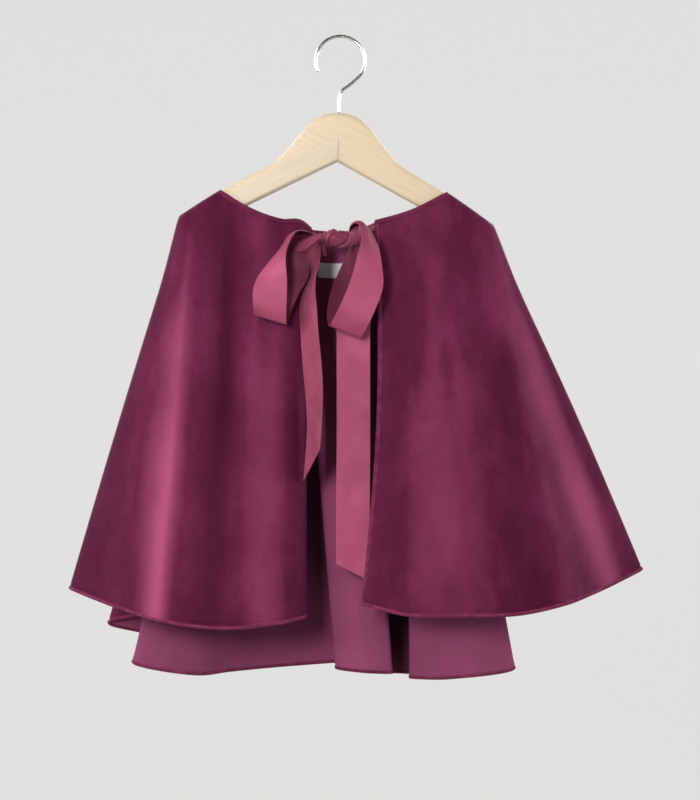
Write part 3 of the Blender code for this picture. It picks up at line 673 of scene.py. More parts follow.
def along_line(knots, drops, section, on, top, past, bottom):
    """Distance across the cloth from a line laid over the sections, and how far the line is faded in."""
    step = 0.04
    share = np.clip((drops - top) / (bottom - top), 0.0, 1.0)
    ends = np.array([section_knot(section, on), section_knot(section, past)])
    across = cape_points(ends + step, drops) - cape_points(ends - step, drops)
    pace = np.linalg.norm(across, axis=-1) / (2 * step)
    pace = pace[0] + (pace[1] - pace[0]) * share
    centre = ends[0] + (ends[1] - ends[0]) * share
    fade = np.clip((drops - top) / LINE_FADE, 0.0, 1.0) * np.clip((bottom - drops) / LINE_FADE, 0.0, 1.0)
    fade = fade * fade * (3.0 - 2.0 * fade)
    return (knots[:, None] - centre[None, :]) * pace[None, :], fade[None, :]


def crease_lift(knots, drops):
    """How far the creases raise the cloth at each point."""
    lift = np.zeros((len(knots), len(drops)))
    for *line, half_wide, depth in CREASES:
        distance, fade = along_line(knots, drops, *line)
        lift += depth * fade * bump(distance, half_wide)
    return lift


def painted_light_and_nap(table, knots, drops):
    """How much lighter or darker one side of the cloth shows at each point: painted highlight and painted
    shade, in part from the pile's brushing on the velvet.
    """
    light = np.zeros((len(knots), len(drops)))
    for *line, before, after, strength in table:
        distance, fade = along_line(knots, drops, *line)
        light += strength * fade * bump(distance, np.where(distance < 0, before, after))
    return np.clip(light, -1.0, 1.0)


def cape_grid(knots, drops):
    """Middle of the creased cloth and its outward direction."""
    step = 0.05
    grid = cape_points(knots, drops)
    ahead = cape_points(np.minimum(knots + step, KNOTS[-1]), drops)
    behind = cape_points(np.maximum(knots - step, KNOTS[0]), drops)
    down = np.gradient(grid, axis=1, edge_order=2)
    out = unit(np.cross(ahead - behind, down))
    hem_away = (1.0 - drops)[None, :] * TYPICAL_DROP
    groove = GROOVE_DEEP * bump(hem_away - HEM_GROOVE, GROOVE_WIDE)
    lift = crease_lift(knots, drops) - groove
    return grid + out * lift[..., None], out


# Meshes


def set_uv(mesh, uvs):
    """Lays a mesh out flat, with one place for each of its points."""
    index = np.empty(len(mesh.loops), np.int32)
    mesh.loops.foreach_get("vertex_index", index)
    mesh.uv_layers[0].data.foreach_set("uv", np.asarray(uvs, np.float32)[index].ravel())


def set_values(obj, name, values):
    """Keeps one value for each point of a piece, for its materials to read."""
    layer = obj.data.attributes.new(name, "FLOAT", "POINT")
    layer.data.foreach_set("value", np.asarray(values, np.float32))


def ring_faces(count, around):
    """Point numbers of closed rings, and the faces between each ring and the next."""
    at = np.arange(count * around).reshape(count, around)
    on = np.roll(at, -1, axis=1)
    return at, np.stack([at[:-1], on[:-1], on[1:], at[1:]], axis=-1).reshape(-1, 4).tolist()


def add_mesh(name, points, faces, uvs=None):
    mesh = bpy.data.meshes.new(name)
    mesh.from_pydata((np.asarray(points) * MM).tolist(), [], faces)
    if uvs is not None:
        mesh.uv_layers.new(name="UVMap")
        set_uv(mesh, uvs)
    mesh.shade_smooth()
    obj = bpy.data.objects.new(name, mesh)
    bpy.context.scene.collection.objects.link(obj)
    return obj


def grid_uv(grid):
    """Metres across and down a grid of points."""
    across = np.linalg.norm(np.diff(grid, axis=0), axis=-1).mean(axis=1)
    across = np.concatenate([[0.0], np.cumsum(across)])
    down = np.linalg.norm(np.diff(grid, axis=1), axis=-1).mean(axis=0)
    down = np.concatenate([[0.0], np.cumsum(down)])
    return np.stack(np.broadcast_arrays(across[:, None], down[None, :]), axis=-1) * MM


def add_shell(name, outer, inner, materials):
    """A closed thin wall between two grids: outside, inside and rim materials in that order."""
    rows, columns = outer.shape[:2]
    under = rows * columns
    at = np.arange(under).reshape(rows, columns)
    quads = np.stack([at[:-1, :-1], at[:-1, 1:], at[1:, 1:], at[1:, :-1]], axis=-1).reshape(-1, 4)
    rim = np.concatenate([at[:, 0], at[-1, 1:], at[-2::-1, -1], at[0, -2:0:-1]])
    following = np.roll(rim, -1)
    sides = np.stack([following, rim, rim + under, following + under], axis=-1)
    faces = np.concatenate([quads[:, ::-1], quads + under, sides])
    points = np.concatenate([outer.reshape(-1, 3), inner.reshape(-1, 3)])
    uv = grid_uv(outer).reshape(-1, 2)
    obj = add_mesh(name, points, faces.tolist(), np.concatenate([uv, uv]))
    for material in materials:
        obj.data.materials.append(material)
    slots = np.repeat([0, 1, len(materials) - 1], [len(quads), len(quads), len(sides)])
    obj.data.polygons.foreach_set("material_index", slots.astype(np.int32))
    return obj


def add_loft(name, rings, material):
    """A closed solid through rings of points."""
    at, faces = ring_faces(*rings.shape[:2])
    faces.append(at[0][::-1].tolist())
    faces.append(at[-1].tolist())
    along = lengths_along(rings.mean(axis=1))
    girth = np.linalg.norm(np.roll(rings, -1, axis=1) - rings, axis=-1).mean(axis=0)
    round_it = np.concatenate([[0.0], np.cumsum(girth)[:-1]])
    uv = np.stack(np.broadcast_arrays(along[:, None], round_it[None, :]), axis=-1) * MM
    obj = add_mesh(name, rings.reshape(-1, 3), faces, uv.reshape(-1, 2))
    obj.data.materials.append(material)
    return obj


def face_outwards(obj):
    """Turns the faces of a closed mesh round if they point inwards."""
    mesh = obj.data
    mesh.calc_loop_triangles()
    corners = np.empty(len(mesh.loop_triangles) * 3, np.int32)
    mesh.loop_triangles.foreach_get("vertices", corners)
    places = np.empty(len(mesh.vertices) * 3, np.float32)
    mesh.vertices.foreach_get("co", places)
    triangles = places.reshape(-1, 3)[corners].reshape(-1, 3, 3).astype(float)
    if np.linalg.det(triangles).sum() < 0:
        mesh.flip_normals()


def dress(obj, slot, *nodes):
    """Puts a piece on the part, with the solids that it stands for; its finish, slot, is not used."""
    face_outwards(obj)
    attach(obj, "root")
    if nodes:
        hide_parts(*nodes)
    return obj


# Materials


def new_material(name, roughness, **settings):
    """A material whose even values sit on the shader's own sockets."""
    material = bpy.data.materials.new(name)
    material.use_nodes = True
    shader = material.node_tree.nodes["Principled BSDF"]
    shader.inputs["Roughness"].default_value = roughness
    for socket, value in settings.items():
        shader.inputs[socket.replace("_", " ")].default_value = value
    return material, material.node_tree, shader


def texture_place(tree, kind, stretch, lean_deg=0.0):
    """Object or UV coordinates, in metres, leant about Y and then stretched along their axes."""
    place = tree.nodes.new("ShaderNodeTexCoord")
    lean = tree.nodes.new("ShaderNodeMapping")
    lean.inputs["Rotation"].default_value = (0.0, math.radians(lean_deg), 0.0)
    tree.links.new(place.outputs[kind], lean.inputs["Vector"])
    mapping = tree.nodes.new("ShaderNodeMapping")
    mapping.inputs["Scale"].default_value = stretch
    tree.links.new(lean.outputs["Vector"], mapping.inputs["Vector"])
    return mapping.outputs["Vector"]


def noise(tree, scale, stretch=(1.0, 1.0, 1.0), detail=3.0, kind="Object", lean_deg=0.0):
    node = tree.nodes.new("ShaderNodeTexNoise")
    node.inputs["Scale"].default_value = scale
    node.inputs["Detail"].default_value = detail
    tree.links.new(texture_place(tree, kind, stretch, lean_deg), node.inputs["Vector"])
    return node.outputs["Fac"]


def math_node(tree, operation, first, second):
    node = tree.nodes.new("ShaderNodeMath")
    node.operation = operation
    for socket, value in zip(node.inputs, (first, second)):
        if isinstance(value, (int, float)):
            socket.default_value = value
        else:
            tree.links.new(value, socket)
    return node.outputs[0]


def ramp(tree, value, low, high, from_value, to_value):
    """A colour that runs from low to high as the value passes between two limits."""
    node = tree.nodes.new("ShaderNodeValToRGB")
    for element, place, colour in zip(node.color_ramp.elements, (from_value, to_value), (low, high)):
        element.position = place
        element.color = (*colour, 1.0)
    tree.links.new(value, node.inputs["Fac"])
    return node.outputs["Color"]


def tint(tree, base, factor, strength, colour):
    """The base colour moved towards another by a factor."""
    node = tree.nodes.new("ShaderNodeMix")
    node.data_type = "RGBA"
    tree.links.new(math_node(tree, "MULTIPLY", factor, strength), node.inputs[0])
    tree.links.new(base, node.inputs[6])
    node.inputs[7].default_value = (*colour, 1.0)
    return node.outputs[2]


def dapple(tree, base, value, low, high, strength, colour):
    """The base colour moved towards another as a texture's value passes between two limits."""
    return tint(tree, base, ramp(tree, value, (0, 0, 0), (1, 1, 1), low, high), strength, colour)


def attribute(tree, name):
    node = tree.nodes.new("ShaderNodeAttribute")
    node.attribute_name = name
    return node.outputs["Fac"]


def lighter_or_darker(tree, base, value, light, dark):
    """The base colour moved towards light where the value is above 0 and towards dark where it is below."""
    base = tint(tree, base, math_node(tree, "MAXIMUM", value, 0.0), 1.0, light)
    below = math_node(tree, "MULTIPLY", value, -1.0)
    return tint(tree, base, math_node(tree, "MAXIMUM", below, 0.0), 1.0, dark)


def relief(tree, shader, height, distance, strength):
    node = tree.nodes.new("ShaderNodeBump")
    node.inputs["Strength"].default_value = strength
    node.inputs["Distance"].default_value = distance
    tree.links.new(height, node.inputs["Height"])
    tree.links.new(node.outputs["Normal"], shader.inputs["Normal"])


def velvet_material():
    """Right side of the cloth: a short dense pile with brushed patches, and painted sheen highlights and
    painted shade read from the point values.
    """
    material, tree, shader = new_material(
        "velvet pile",
        0.52,
        Specular_IOR_Level=0.14,
        Specular_Tint=(1.0, 0.22, 0.42, 1.0),
        Sheen_Weight=0.02,
        Sheen_Roughness=0.50,
        Sheen_Tint=(1.0, 0.50, 0.68, 1.0),
    )
    patches = noise(tree, 22.0, (1.0, 1.0, 0.55), 5.0)
    base = ramp(tree, patches, (0.078, 0.0088, 0.032), (0.128, 0.0170, 0.055), 0.34, 0.68)
    strokes = noise(tree, 70.0, (1.0, 1.0, 0.25), 4.0)
    base = dapple(tree, base, strokes, 0.50, 0.72, 0.46, (0.150, 0.022, 0.065))
    mottle = noise(tree, 130.0, (1.0, 1.0, 0.7), 3.0)
    base = dapple(tree, base, mottle, 0.46, 0.72, 0.42, (0.070, 0.007, 0.026))
    uneven = math_node(tree, "MULTIPLY", math_node(tree, "SUBTRACT", patches, 0.5), 0.42)
    nap_and_painted_light = math_node(tree, "ADD", attribute(tree, "nap_and_painted_light"), uneven)
    # Painted sheen highlight towards the light colour, painted shade towards the dark one, partly the
    # pile's brushing
    base = lighter_or_darker(tree, base, nap_and_painted_light, (0.380, 0.075, 0.165), (0.040, 0.0040, 0.016))
    pile = noise(tree, 1400.0, detail=2.0)
    base = dapple(tree, base, pile, 0.45, 0.70, 0.28, (0.050, 0.005, 0.019))
    tree.links.new(base, shader.inputs["Base Color"])
    height = math_node(tree, "ADD", pile, math_node(tree, "MULTIPLY", strokes, 0.6))
    relief(tree, shader, height, 0.0006, 0.35)
    return material


def wrong_side_material():
    """Wrong side of the cloth: a flat fine knit, with painted shade in its deep folds and painted light on
    the pleat.
    """
    material, tree, shader = new_material(
        "velvet back",
        0.82,
        Specular_IOR_Level=0.20,
        Sheen_Weight=0.04,
        Sheen_Roughness=0.50,
        Sheen_Tint=(1.0, 0.55, 0.75, 1.0),
    )
    patches = noise(tree, 26.0, detail=3.0)
    base = ramp(tree, patches, (0.230, 0.046, 0.112), (0.268, 0.057, 0.134), 0.35, 0.65)
    loops = noise(tree, 1500.0, (1.0, 1.0, 0.35), 2.0)
    base = dapple(tree, base, loops, 0.45, 0.72, 0.25, (0.150, 0.028, 0.070))
    inside_painted_light = attribute(tree, "nap_and_painted_light")
    # Painted light towards the light colour, painted shade towards the dark one
    base = lighter_or_darker(tree, base, inside_painted_light, (0.420, 0.100, 0.210), (0.030, 0.004, 0.012))
    tree.links.new(base, shader.inputs["Base Color"])
    relief(tree, shader, loops, 0.0004, 0.30)
    return material


def hem_material():
    """Close thread wraps along the rolled edges."""
    material, tree, shader = new_material(
        "hem thread",
        0.70,
        Specular_IOR_Level=0.12,
        Specular_Tint=(1.0, 0.45, 0.60, 1.0),
        Sheen_Weight=0.02,
        Sheen_Roughness=0.40,
        Sheen_Tint=(1.0, 0.50, 0.68, 1.0),
    )
    uneven = noise(tree, 120.0, detail=3.0)
    base = ramp(tree, uneven, (0.130, 0.018, 0.050), (0.225, 0.040, 0.092), 0.30, 0.70)
    threads = noise(tree, 900.0, (4.0, 0.4, 1.0), 2.0, "UV")
    base = dapple(tree, base, threads, 0.45, 0.70, 0.40, (0.070, 0.008, 0.028))
    tree.links.new(base, shader.inputs["Base Color"])
    relief(tree, shader, threads, 0.0005, 0.5)
    return material


def ribbon_material(name, low, high, yarn):
    """Cross-ribbed ribbon, on one of its two sides, with painted shade where it is gathered."""
    material, tree, shader = new_material(
        name,
        0.52,
        Specular_IOR_Level=0.35,
        Specular_Tint=(1.0, 0.62, 0.72, 1.0),
        Sheen_Weight=0.18,
        Sheen_Roughness=0.35,
        Sheen_Tint=(1.0, 0.66, 0.78, 1.0),
    )
    patches = noise(tree, 40.0, detail=2.0)
    base = ramp(tree, patches, low, high, 0.35, 0.65)
    yarns = noise(tree, 700.0, (0.15, 3.0, 1.0), 2.0, "UV")
    base = dapple(tree, base, yarns, 0.45, 0.75, 0.22, yarn)
    # Painted shade where the ribbon is gathered
    base = tint(tree, base, attribute(tree, "gather_shade"), 0.75, (0.090, 0.013, 0.028))
    tree.links.new(base, shader.inputs["Base Color"])
    place = texture_place(tree, "UV", (1.0, 1.0, 1.0))
    parts = tree.nodes.new("ShaderNodeSeparateXYZ")
    tree.links.new(place, parts.inputs[0])
    turns = math_node(tree, "MULTIPLY", parts.outputs["Y"], 2 * math.pi / (RIB_EVERY * MM))
    ribs = math_node(tree, "SINE", turns, 0.0)
    relief(tree, shader, math_node(tree, "ADD", ribs, yarns), 0.00010, 0.3)
    return material


def label_material():
    """A bare woven tab."""
    material, tree, shader = new_material("woven label", 0.75, Specular_IOR_Level=0.25, Sheen_Weight=0.10)
    weave = noise(tree, 1300.0, (1.0, 1.0, 2.5), 2.0)
    base = ramp(tree, weave, (0.76, 0.82, 0.88), (0.87, 0.91, 0.95), 0.35, 0.70)
    tree.links.new(base, shader.inputs["Base Color"])
    relief(tree, shader, weave, 0.0003, 0.4)
    return material


def wood_material(name, low, high, fleck, grain_deg):
    """Pale close-grained wood under a satin varnish, its grain leaning by an angle."""
    material, tree, shader = new_material(
        name, 0.46, Specular_IOR_Level=0.35, Coat_Weight=0.10, Coat_Roughness=0.30
    )
    grain = noise(tree, 300.0, (0.05, 1.0, 1.0), 4.0, lean_deg=grain_deg)
    base = ramp(tree, grain, low, high, 0.30, 0.66)
    flecks = noise(tree, 700.0, (0.06, 1.6, 1.0), 2.0, lean_deg=grain_deg)
    base = dapple(tree, base, flecks, 0.60, 0.74, 0.35, fleck)
    drift = noise(tree, 30.0, (0.25, 1.0, 1.0), 2.0, lean_deg=grain_deg)
    base = dapple(tree, base, drift, 0.45, 0.75, 0.35, low)
    tree.links.new(base, shader.inputs["Base Color"])
    relief(tree, shader, math_node(tree, "ADD", grain, flecks), 0.00025, 0.25)
    return material


def steel_material():
    """Bright plated wire with faint drawing marks."""
    material, tree, shader = new_material("bright wire", 0.16, Metallic=1.0)
    marks = noise(tree, 900.0, (1.0, 1.0, 0.2), 2.0)
    base = ramp(tree, marks, (0.70, 0.70, 0.71), (0.84, 0.84, 0.84), 0.35, 0.65)
    tree.links.new(base, shader.inputs["Base Color"])
    wear = ramp(tree, marks, (0.12, 0.12, 0.12), (0.24, 0.24, 0.24), 0.35, 0.70)
    tree.links.new(wear, shader.inputs["Roughness"])
    return material


VELVET = velvet_material()
WRONG_SIDE = wrong_side_material()
HEM = hem_material()
# Shades of the ribbon: name, darker and lighter ground, yarn. The first is the ribbon's own colour; the
# second and the last are copies with painted shade, the third a copy with painted light
RIBBON_SHADES = (
    ("ribbed ribbon", (0.340, 0.060, 0.124), (0.400, 0.079, 0.156), (0.270, 0.043, 0.093)),
    ("ribbon painted shade", (0.108, 0.012, 0.032), (0.135, 0.017, 0.043), (0.080, 0.009, 0.024)),
    ("ribbon painted light", (0.405, 0.073, 0.150), (0.470, 0.095, 0.185), (0.325, 0.053, 0.113)),
    ("ribbon deeper painted shade", (0.215, 0.038, 0.076), (0.270, 0.052, 0.100), (0.160, 0.027, 0.056)),
)
# Copies of the ribbon with painted shade and painted light, for its inner face, the tails and the knot
RIBBED, RIBBON_PAINTED_SHADE, RIBBON_PAINTED_LIGHT, RIBBON_DEEPER_SHADE = (ribbon_material(*shade) for shade in RIBBON_SHADES)
WOVEN = label_material()
# Shades of the wood: name, darker and lighter ground, fleck, lean of the grain
WOOD_SHADES = (
    ("pale wood", (0.640, 0.515, 0.350), (0.705, 0.580, 0.410), (0.560, 0.425, 0.270), GRAIN_DEG),
    ("paler wood", (0.600, 0.505, 0.370), (0.655, 0.565, 0.430), (0.540, 0.430, 0.290), -GRAIN_DEG),
)
WOOD, PLANK = (wood_material(*shade) for shade in WOOD_SHADES)
STEEL = steel_material()


# The cape


def fine_drops(rows):
    """Shares down the cloth, closer over the hanger and by the hem."""
    top = np.linspace(0.0, TOP_NEAR, TOP_ROWS)
    bottom = 1.0 - np.linspace(HEM_NEAR, 0.0, HEM_ROWS) / TYPICAL_DROP
    return np.concatenate([top[:-1], np.linspace(top[-1], bottom[0], rows), bottom[1:]])


def fine_knots(first, last, columns):
    """Knots between two sections, closer by the neck points."""
    start, end = NAMES.index(first), NAMES.index(last)
    counts = np.arange(start * columns, end * columns + 1) / columns
    knots = np.interp(counts, np.arange(len(KNOTS)), KNOTS)
    beside = np.linspace(-NECK_NEAR, NECK_NEAR, NECK_COLUMNS)
    near = np.concatenate([stop + beside for stop in (1.0, 3.0, 4.0, 6.0)])
    extra = knots_of(near)
    extra = extra[(extra > knots[0]) & (extra < knots[-1])]
    merged = np.unique(np.concatenate([knots, extra]))
    kept = np.concatenate([[True], np.diff(merged) > LEAST_STEP])
    kept[-1] = True
    return merged[kept]


def add_panel(name, first, last, columns, rows):
    """One cut piece of the cape as a thin shell, velvet outside and plain inside, both with painted light
    and shade.
    """
    knots, drops = fine_knots(first, last, columns), fine_drops(rows)
    grid, out = cape_grid(knots, drops)
    obj = add_shell(name, grid + out * CLOTH / 2, grid - out * CLOTH / 2, (VELVET, WRONG_SIDE))
    # Painted sheen highlights and painted shade, in part the pile's brushing, on the velvet; painted shade
    # and light on the wrong side
    sides = [painted_light_and_nap(table, knots, drops).ravel() for table in (NAP_AND_PAINTED_LIGHT, INSIDE_PAINTED_SHADE_AND_LIGHT)]
    set_values(obj, "nap_and_painted_light", np.concatenate(sides))
    return dress(obj, "velvet", name.removesuffix("_cloth"))


def even_line(line, *vectors):
    """A path and its vectors sampled at even steps along its length."""
    run = lengths_along(line)
    at = np.linspace(0.0, run[-1], max(int(run[-1] / TUBE_STEP), 8))
    resampled = []
    for values in (line, *vectors):
        resampled.append(np.stack([np.interp(at, run, values[:, axis]) for axis in range(3)], axis=-1))
    return at, resampled


def add_edge_roll(name, line, inward, out, half_tall, half_thick, sides=ROLL_SIDES):
    """A thread-wrapped roll round an edge of the cloth."""
    run, (line, inward, out) = even_line(line, inward, out)
    inward, out = unit(inward), unit(out)
    swell = 1.0 + WRAP_DEEP * np.sin(run * 2 * math.pi / WRAP_EVERY)
    angle = np.linspace(0.0, 2 * math.pi, sides, endpoint=False)[None, :, None]
    tall = np.cos(angle) * (inward * half_tall * swell[:, None])[:, None]
    thick = np.sin(angle) * (out * half_thick * swell[:, None])[:, None]
    centre = line + inward * half_tall * ROLL_SET_IN
    return add_loft(name, centre[:, None] + tall + thick, HEM)


def add_hem(name, first, last):
    """The rolled hem of one panel."""
    knots = fine_knots(first, last, HEM_COLUMNS)
    grid, out = cape_grid(knots, 1.0 - np.linspace(HEM_REACH, 0.0, 3) / TYPICAL_DROP)
    obj = add_edge_roll(name, grid[:, 2], grid[:, 0] - grid[:, 2], out[:, 2], HEM_HALF, CLOTH / 2 + HEM_OUT)
    return dress(obj, "velvet")


def add_front_edge(name, knot, into):
    """The rolled free edge of one front, from the neck to the hem."""
    grid, out = cape_grid(np.array([knot, knot + into]), fine_drops(EDGE_ROWS))
    obj = add_edge_roll(name, grid[0], grid[1] - grid[0], out[0], EDGE_HALF, CLOTH / 2 + EDGE_OUT)
    return dress(obj, "velvet")


def add_neck_band(name, first, last):
    """The turned band along one stretch of the neck edge."""
    knots = knots_of(np.linspace(first, last, BAND_COLUMNS))
    drops = np.array([0.0, BAND_TALL / 2, BAND_TALL]) / TYPICAL_DROP
    grid, out = cape_grid(knots, drops)
    line = grid[:, 0] + out[:, 0] * BAND_OUT * BAND_LIFT
    half = BAND_TALL / 2
    down = grid[:, 2] - grid[:, 0]
    obj = add_edge_roll(name, line, down, out[:, 1], half, CLOTH / 2 + BAND_OUT, BAND_SIDES)
    obj.data.materials.clear()
    obj.data.materials.append(VELVET)
    # The whole band painted lighter: painted light
    set_values(obj, "nap_and_painted_light", np.full(len(obj.data.vertices), BAND_PAINTED_LIGHT))
    return dress(obj, "velvet", name.removesuffix("_cloth"))


def add_label():
    """The bare tab inside the back neck, lying on the panel."""
    knots = knots_of(np.linspace(*LABEL_STATIONS, LABEL_COLUMNS))
    grid, out = cape_grid(knots, np.linspace(*LABEL_DROP, LABEL_ROWS))
    near = CLOTH / 2 + SEAM
    obj = add_shell("label_tab", grid - out * near, grid - out * (near + LABEL), (WOVEN,))
    dress(obj, "label", "label")


# The bow


def ribbon_frames(rows, shares):
    """Middle line, unit width, half width, width share and length of a ribbon, at shares of its length."""
    table = np.array(rows, float)
    knots = chord_knots(table[:, :3])
    fine = np.linspace(0.0, knots[-1], RIBBON_POINTS)
    run = lengths_along(smooth_path(knots, table[:, :3], fine))
    at = np.interp(np.asarray(shares) * run[-1], run, fine)
    middle = smooth_path(knots, table[:, :3], at)
    share, tilt, turn = smooth_path(knots, table[:, 3:], at).T
    tilt, turn = np.radians(tilt), np.radians(turn)
    wide = np.stack([np.cos(turn) * np.cos(tilt), np.sin(turn), -np.cos(turn) * np.sin(tilt)], axis=-1)
    return middle, wide, RIBBON_WIDE / 2 * share[:, None], np.clip(share, 0.0, 1.0), run[-1]


def add_ribbon(name, rows, count, cut, fold, face, *nodes):
    """One stretch of the ribbon, bent lengthwise into a soft ridge where it narrows."""
    across = np.linspace(-1.0, 1.0, RIBBON_COLUMNS)
    lines, gathers, widths = [], [], []
    for side in across:
        share = cut[0] + (cut[1] - cut[0]) * (side + 1.0) / 2.0
        middle, wide, half, narrow, length = ribbon_frames(rows, np.linspace(0.0, share, count))
        lines.append(middle + side * wide * half)
        gathers.append((1.0 - narrow) * fold * (1.0 - abs(side - FOLD_OFF) ** FOLD_POWER))
        widths.append(narrow)
    grid = np.stack(lines, axis=1)
    along = np.gradient(grid, axis=0, edge_order=2)
    beside = np.gradient(grid, axis=1, edge_order=2)
    out = unit(np.cross(along, beside))
    curl = EDGE_CURL * across[None, :] ** 4
    grid = grid + out * (np.stack(gathers, axis=1) - curl)[..., None]
    # The inner face takes the ribbon copy with painted shade
    obj = add_shell(name, grid - out * RIBBON / 2, grid + out * RIBBON / 2, (RIBBON_PAINTED_SHADE, face))
    obj.data.set_sharp_from_angle(angle=math.radians(RIBBON_SHARP_DEG))
    sideways, lengthways = across[None, :] * RIBBON_WIDE / 2, np.linspace(0.0, length, count)[:, None]
    uv = np.stack(np.broadcast_arrays(sideways, lengthways), axis=-1).reshape(-1, 2) * MM
    set_uv(obj.data, np.concatenate([uv, uv]))
    # Painted shade where the ribbon narrows as it is gathered
    painted_gather_shade = np.clip((GATHER_SHADE_FROM - np.stack(widths, axis=1)) / GATHER_SHADE_OVER, 0.0, 1.0).ravel()
    set_values(obj, "gather_shade", np.concatenate([painted_gather_shade, painted_gather_shade]))
    dress(obj, "ribbon", *nodes)
    return obj, length


def tube_rings(line, half_wide, half_deep, sides):
    """Rings round a line that lies near one upright plane."""
    along = unit(np.gradient(line, axis=0))
    wide = unit(np.cross(along, np.array([0.0, 1.0, 0.0])))
    deep = np.cross(wide, along)
    angle = np.linspace(0.0, 2 * math.pi, sides, endpoint=False)[None, :, None]
    ring = np.cos(angle) * (wide * half_wide)[:, None] + np.sin(angle) * (deep * half_deep)[:, None]
    return line[:, None] + ring


def add_knot():
    """The wrapped knot, pinched in the middle, with folds that run out from the pinch."""
    table = np.array(KNOT)
    knots = chord_knots(table[:, :3])
    share = np.linspace(0.0, 1.0, KNOT_RINGS)
    line = smooth_path(knots, table, share * knots[-1])
    rings = tube_rings(line[:, :3], line[:, 3:4], line[:, 4:5], KNOT_SIDES)
    angle = np.linspace(0.0, 360.0, KNOT_SIDES, endpoint=False)
    sunk = np.zeros((KNOT_RINGS, KNOT_SIDES))
    for place, slant, half_wide, depth in KNOT_PINCHES:
        up = np.cos(np.radians(angle))[None, :]
        sunk += depth * bump(share[:, None] - place - slant * up, half_wide)
    for first, from_deg, last, to_deg, half_wide, depth in KNOT_FOLDS:
        run = np.clip((share - first) / (last - first), 0.0, 1.0)
        turned = angle[None, :] - (from_deg + (to_deg - from_deg) * run)[:, None]
        turned = (turned + 180.0) % 360.0 - 180.0
        fade = np.clip((share - first) / FOLD_IN, 0.0, 1.0)
        fade = fade * np.clip((last - share) / FOLD_OUT, 0.0, 1.0)
        sunk += depth * fade[:, None] * bump(turned, half_wide)
    ends = np.clip(np.minimum(share, 1.0 - share) / KNOT_FADE, 0.0, 1.0)[:, None]
    inward = unit(line[:, None, :3] - rings + 1e-9)
    # The knot takes the ribbon copy with painted shade
    obj = add_loft("knot_folds", rings + inward * (sunk * ends)[..., None], RIBBON_DEEPER_SHADE)
    return dress(obj, "ribbon", "knot")


# The hanger

# First column of faces, counted round an arm, on the plank low on its front
FACET_COLUMN = 3 * (ARM_CORNER_STEPS + 1) + 1


def arm_ring(out, proud):
    """One upright section of a hanger arm, rounded at its corners, with a facet low on its front."""
    top, bottom = hanger_top(out)[0], hanger_bottom(out)[0]
    half = ARM_THICK / 2
    past = max(out - (ARM_END - ARM_END_ROUND), 0.0) / ARM_END_ROUND
    shrink = math.sqrt(max(1.0 - past**2, ARM_TIP_LEAST))
    middle = (top + bottom) / 2
    top, bottom = middle + (top - middle) * shrink, middle + (bottom - middle) * shrink
    half *= shrink
    fade = 1.0 - past
    crease = min(FACET_START - FACET_FALL * out, top - ARM_TOP_ROUND * shrink - CREASE_CLEAR)
    crease = max(crease, bottom + ARM_BOTTOM_ROUND * shrink + CREASE_CLEAR)
    ring = [(-half, crease)]
    corners = (
        (-half, top, ARM_TOP_ROUND * shrink, 180.0, 0.0),
        (half, top, ARM_TOP_ROUND * shrink, 90.0, 0.0),
        (half, bottom, ARM_BOTTOM_ROUND * shrink, 0.0, 0.0),
        (-half, bottom, ARM_BOTTOM_ROUND * shrink, -90.0, proud * fade),
    )
    for y, z, radius, from_deg, out_by in corners:
        centre_y = y - math.copysign(radius, y) - out_by
        centre_z = z - radius if z == top else z + radius
        for step in range(ARM_CORNER_STEPS + 1):
            angle = math.radians(from_deg - 90.0 * step / ARM_CORNER_STEPS)
            ring.append((centre_y + radius * math.cos(angle), centre_z + radius * math.sin(angle)))
    foot_y, foot_z = ring[-1]
    ring.append((-half + (foot_y + half) * FACET_LIP / (crease - foot_z), crease - FACET_LIP))
    return ring


def add_arm(name, side, proud, node):
    body = np.linspace(0.0, ARM_END - ARM_END_ROUND, ARM_RINGS)
    turn = np.linspace(0.0, math.pi / 2, ARM_TIP_RINGS)[1:]
    tip = ARM_END - ARM_END_ROUND + ARM_END_ROUND * np.sin(turn)
    outs = np.concatenate([body, tip])
    rings = [[(side * out, y, z) for y, z in arm_ring(out, proud)] for out in outs]
    rings = np.array(rings, float)
    low = rings[0, :, 2] < FACET_START - JOINT_CLEAR
    rings[0, :, 0] = np.where(low, side * SEAM / 2, 0.0)
    if side > 0:
        sunk = rings[0] + (rings[0].mean(axis=0) - rings[0]) * JOINT_SUNK
        sunk[:, 0] = -SEAM
        rings[0] = np.where(low[:, None], rings[0], sunk)
    obj = add_loft(name, rolled(rings), WOOD)
    obj.data.materials.append(PLANK)
    for face in obj.data.polygons[: (len(rings) - 1) * rings.shape[1]]:
        face.material_index = int(proud > 0 and face.index % rings.shape[1] >= FACET_COLUMN)
    obj.data.set_sharp_from_angle(angle=math.radians(ARM_SHARP_DEG))
    sharp = obj.data.attributes["sharp_edge"]
    for edge in obj.data.edges:
        if all(corner % rings.shape[1] == 0 for corner in edge.vertices):
            sharp.data[edge.index].value = True
    return dress(obj, "wood", node)


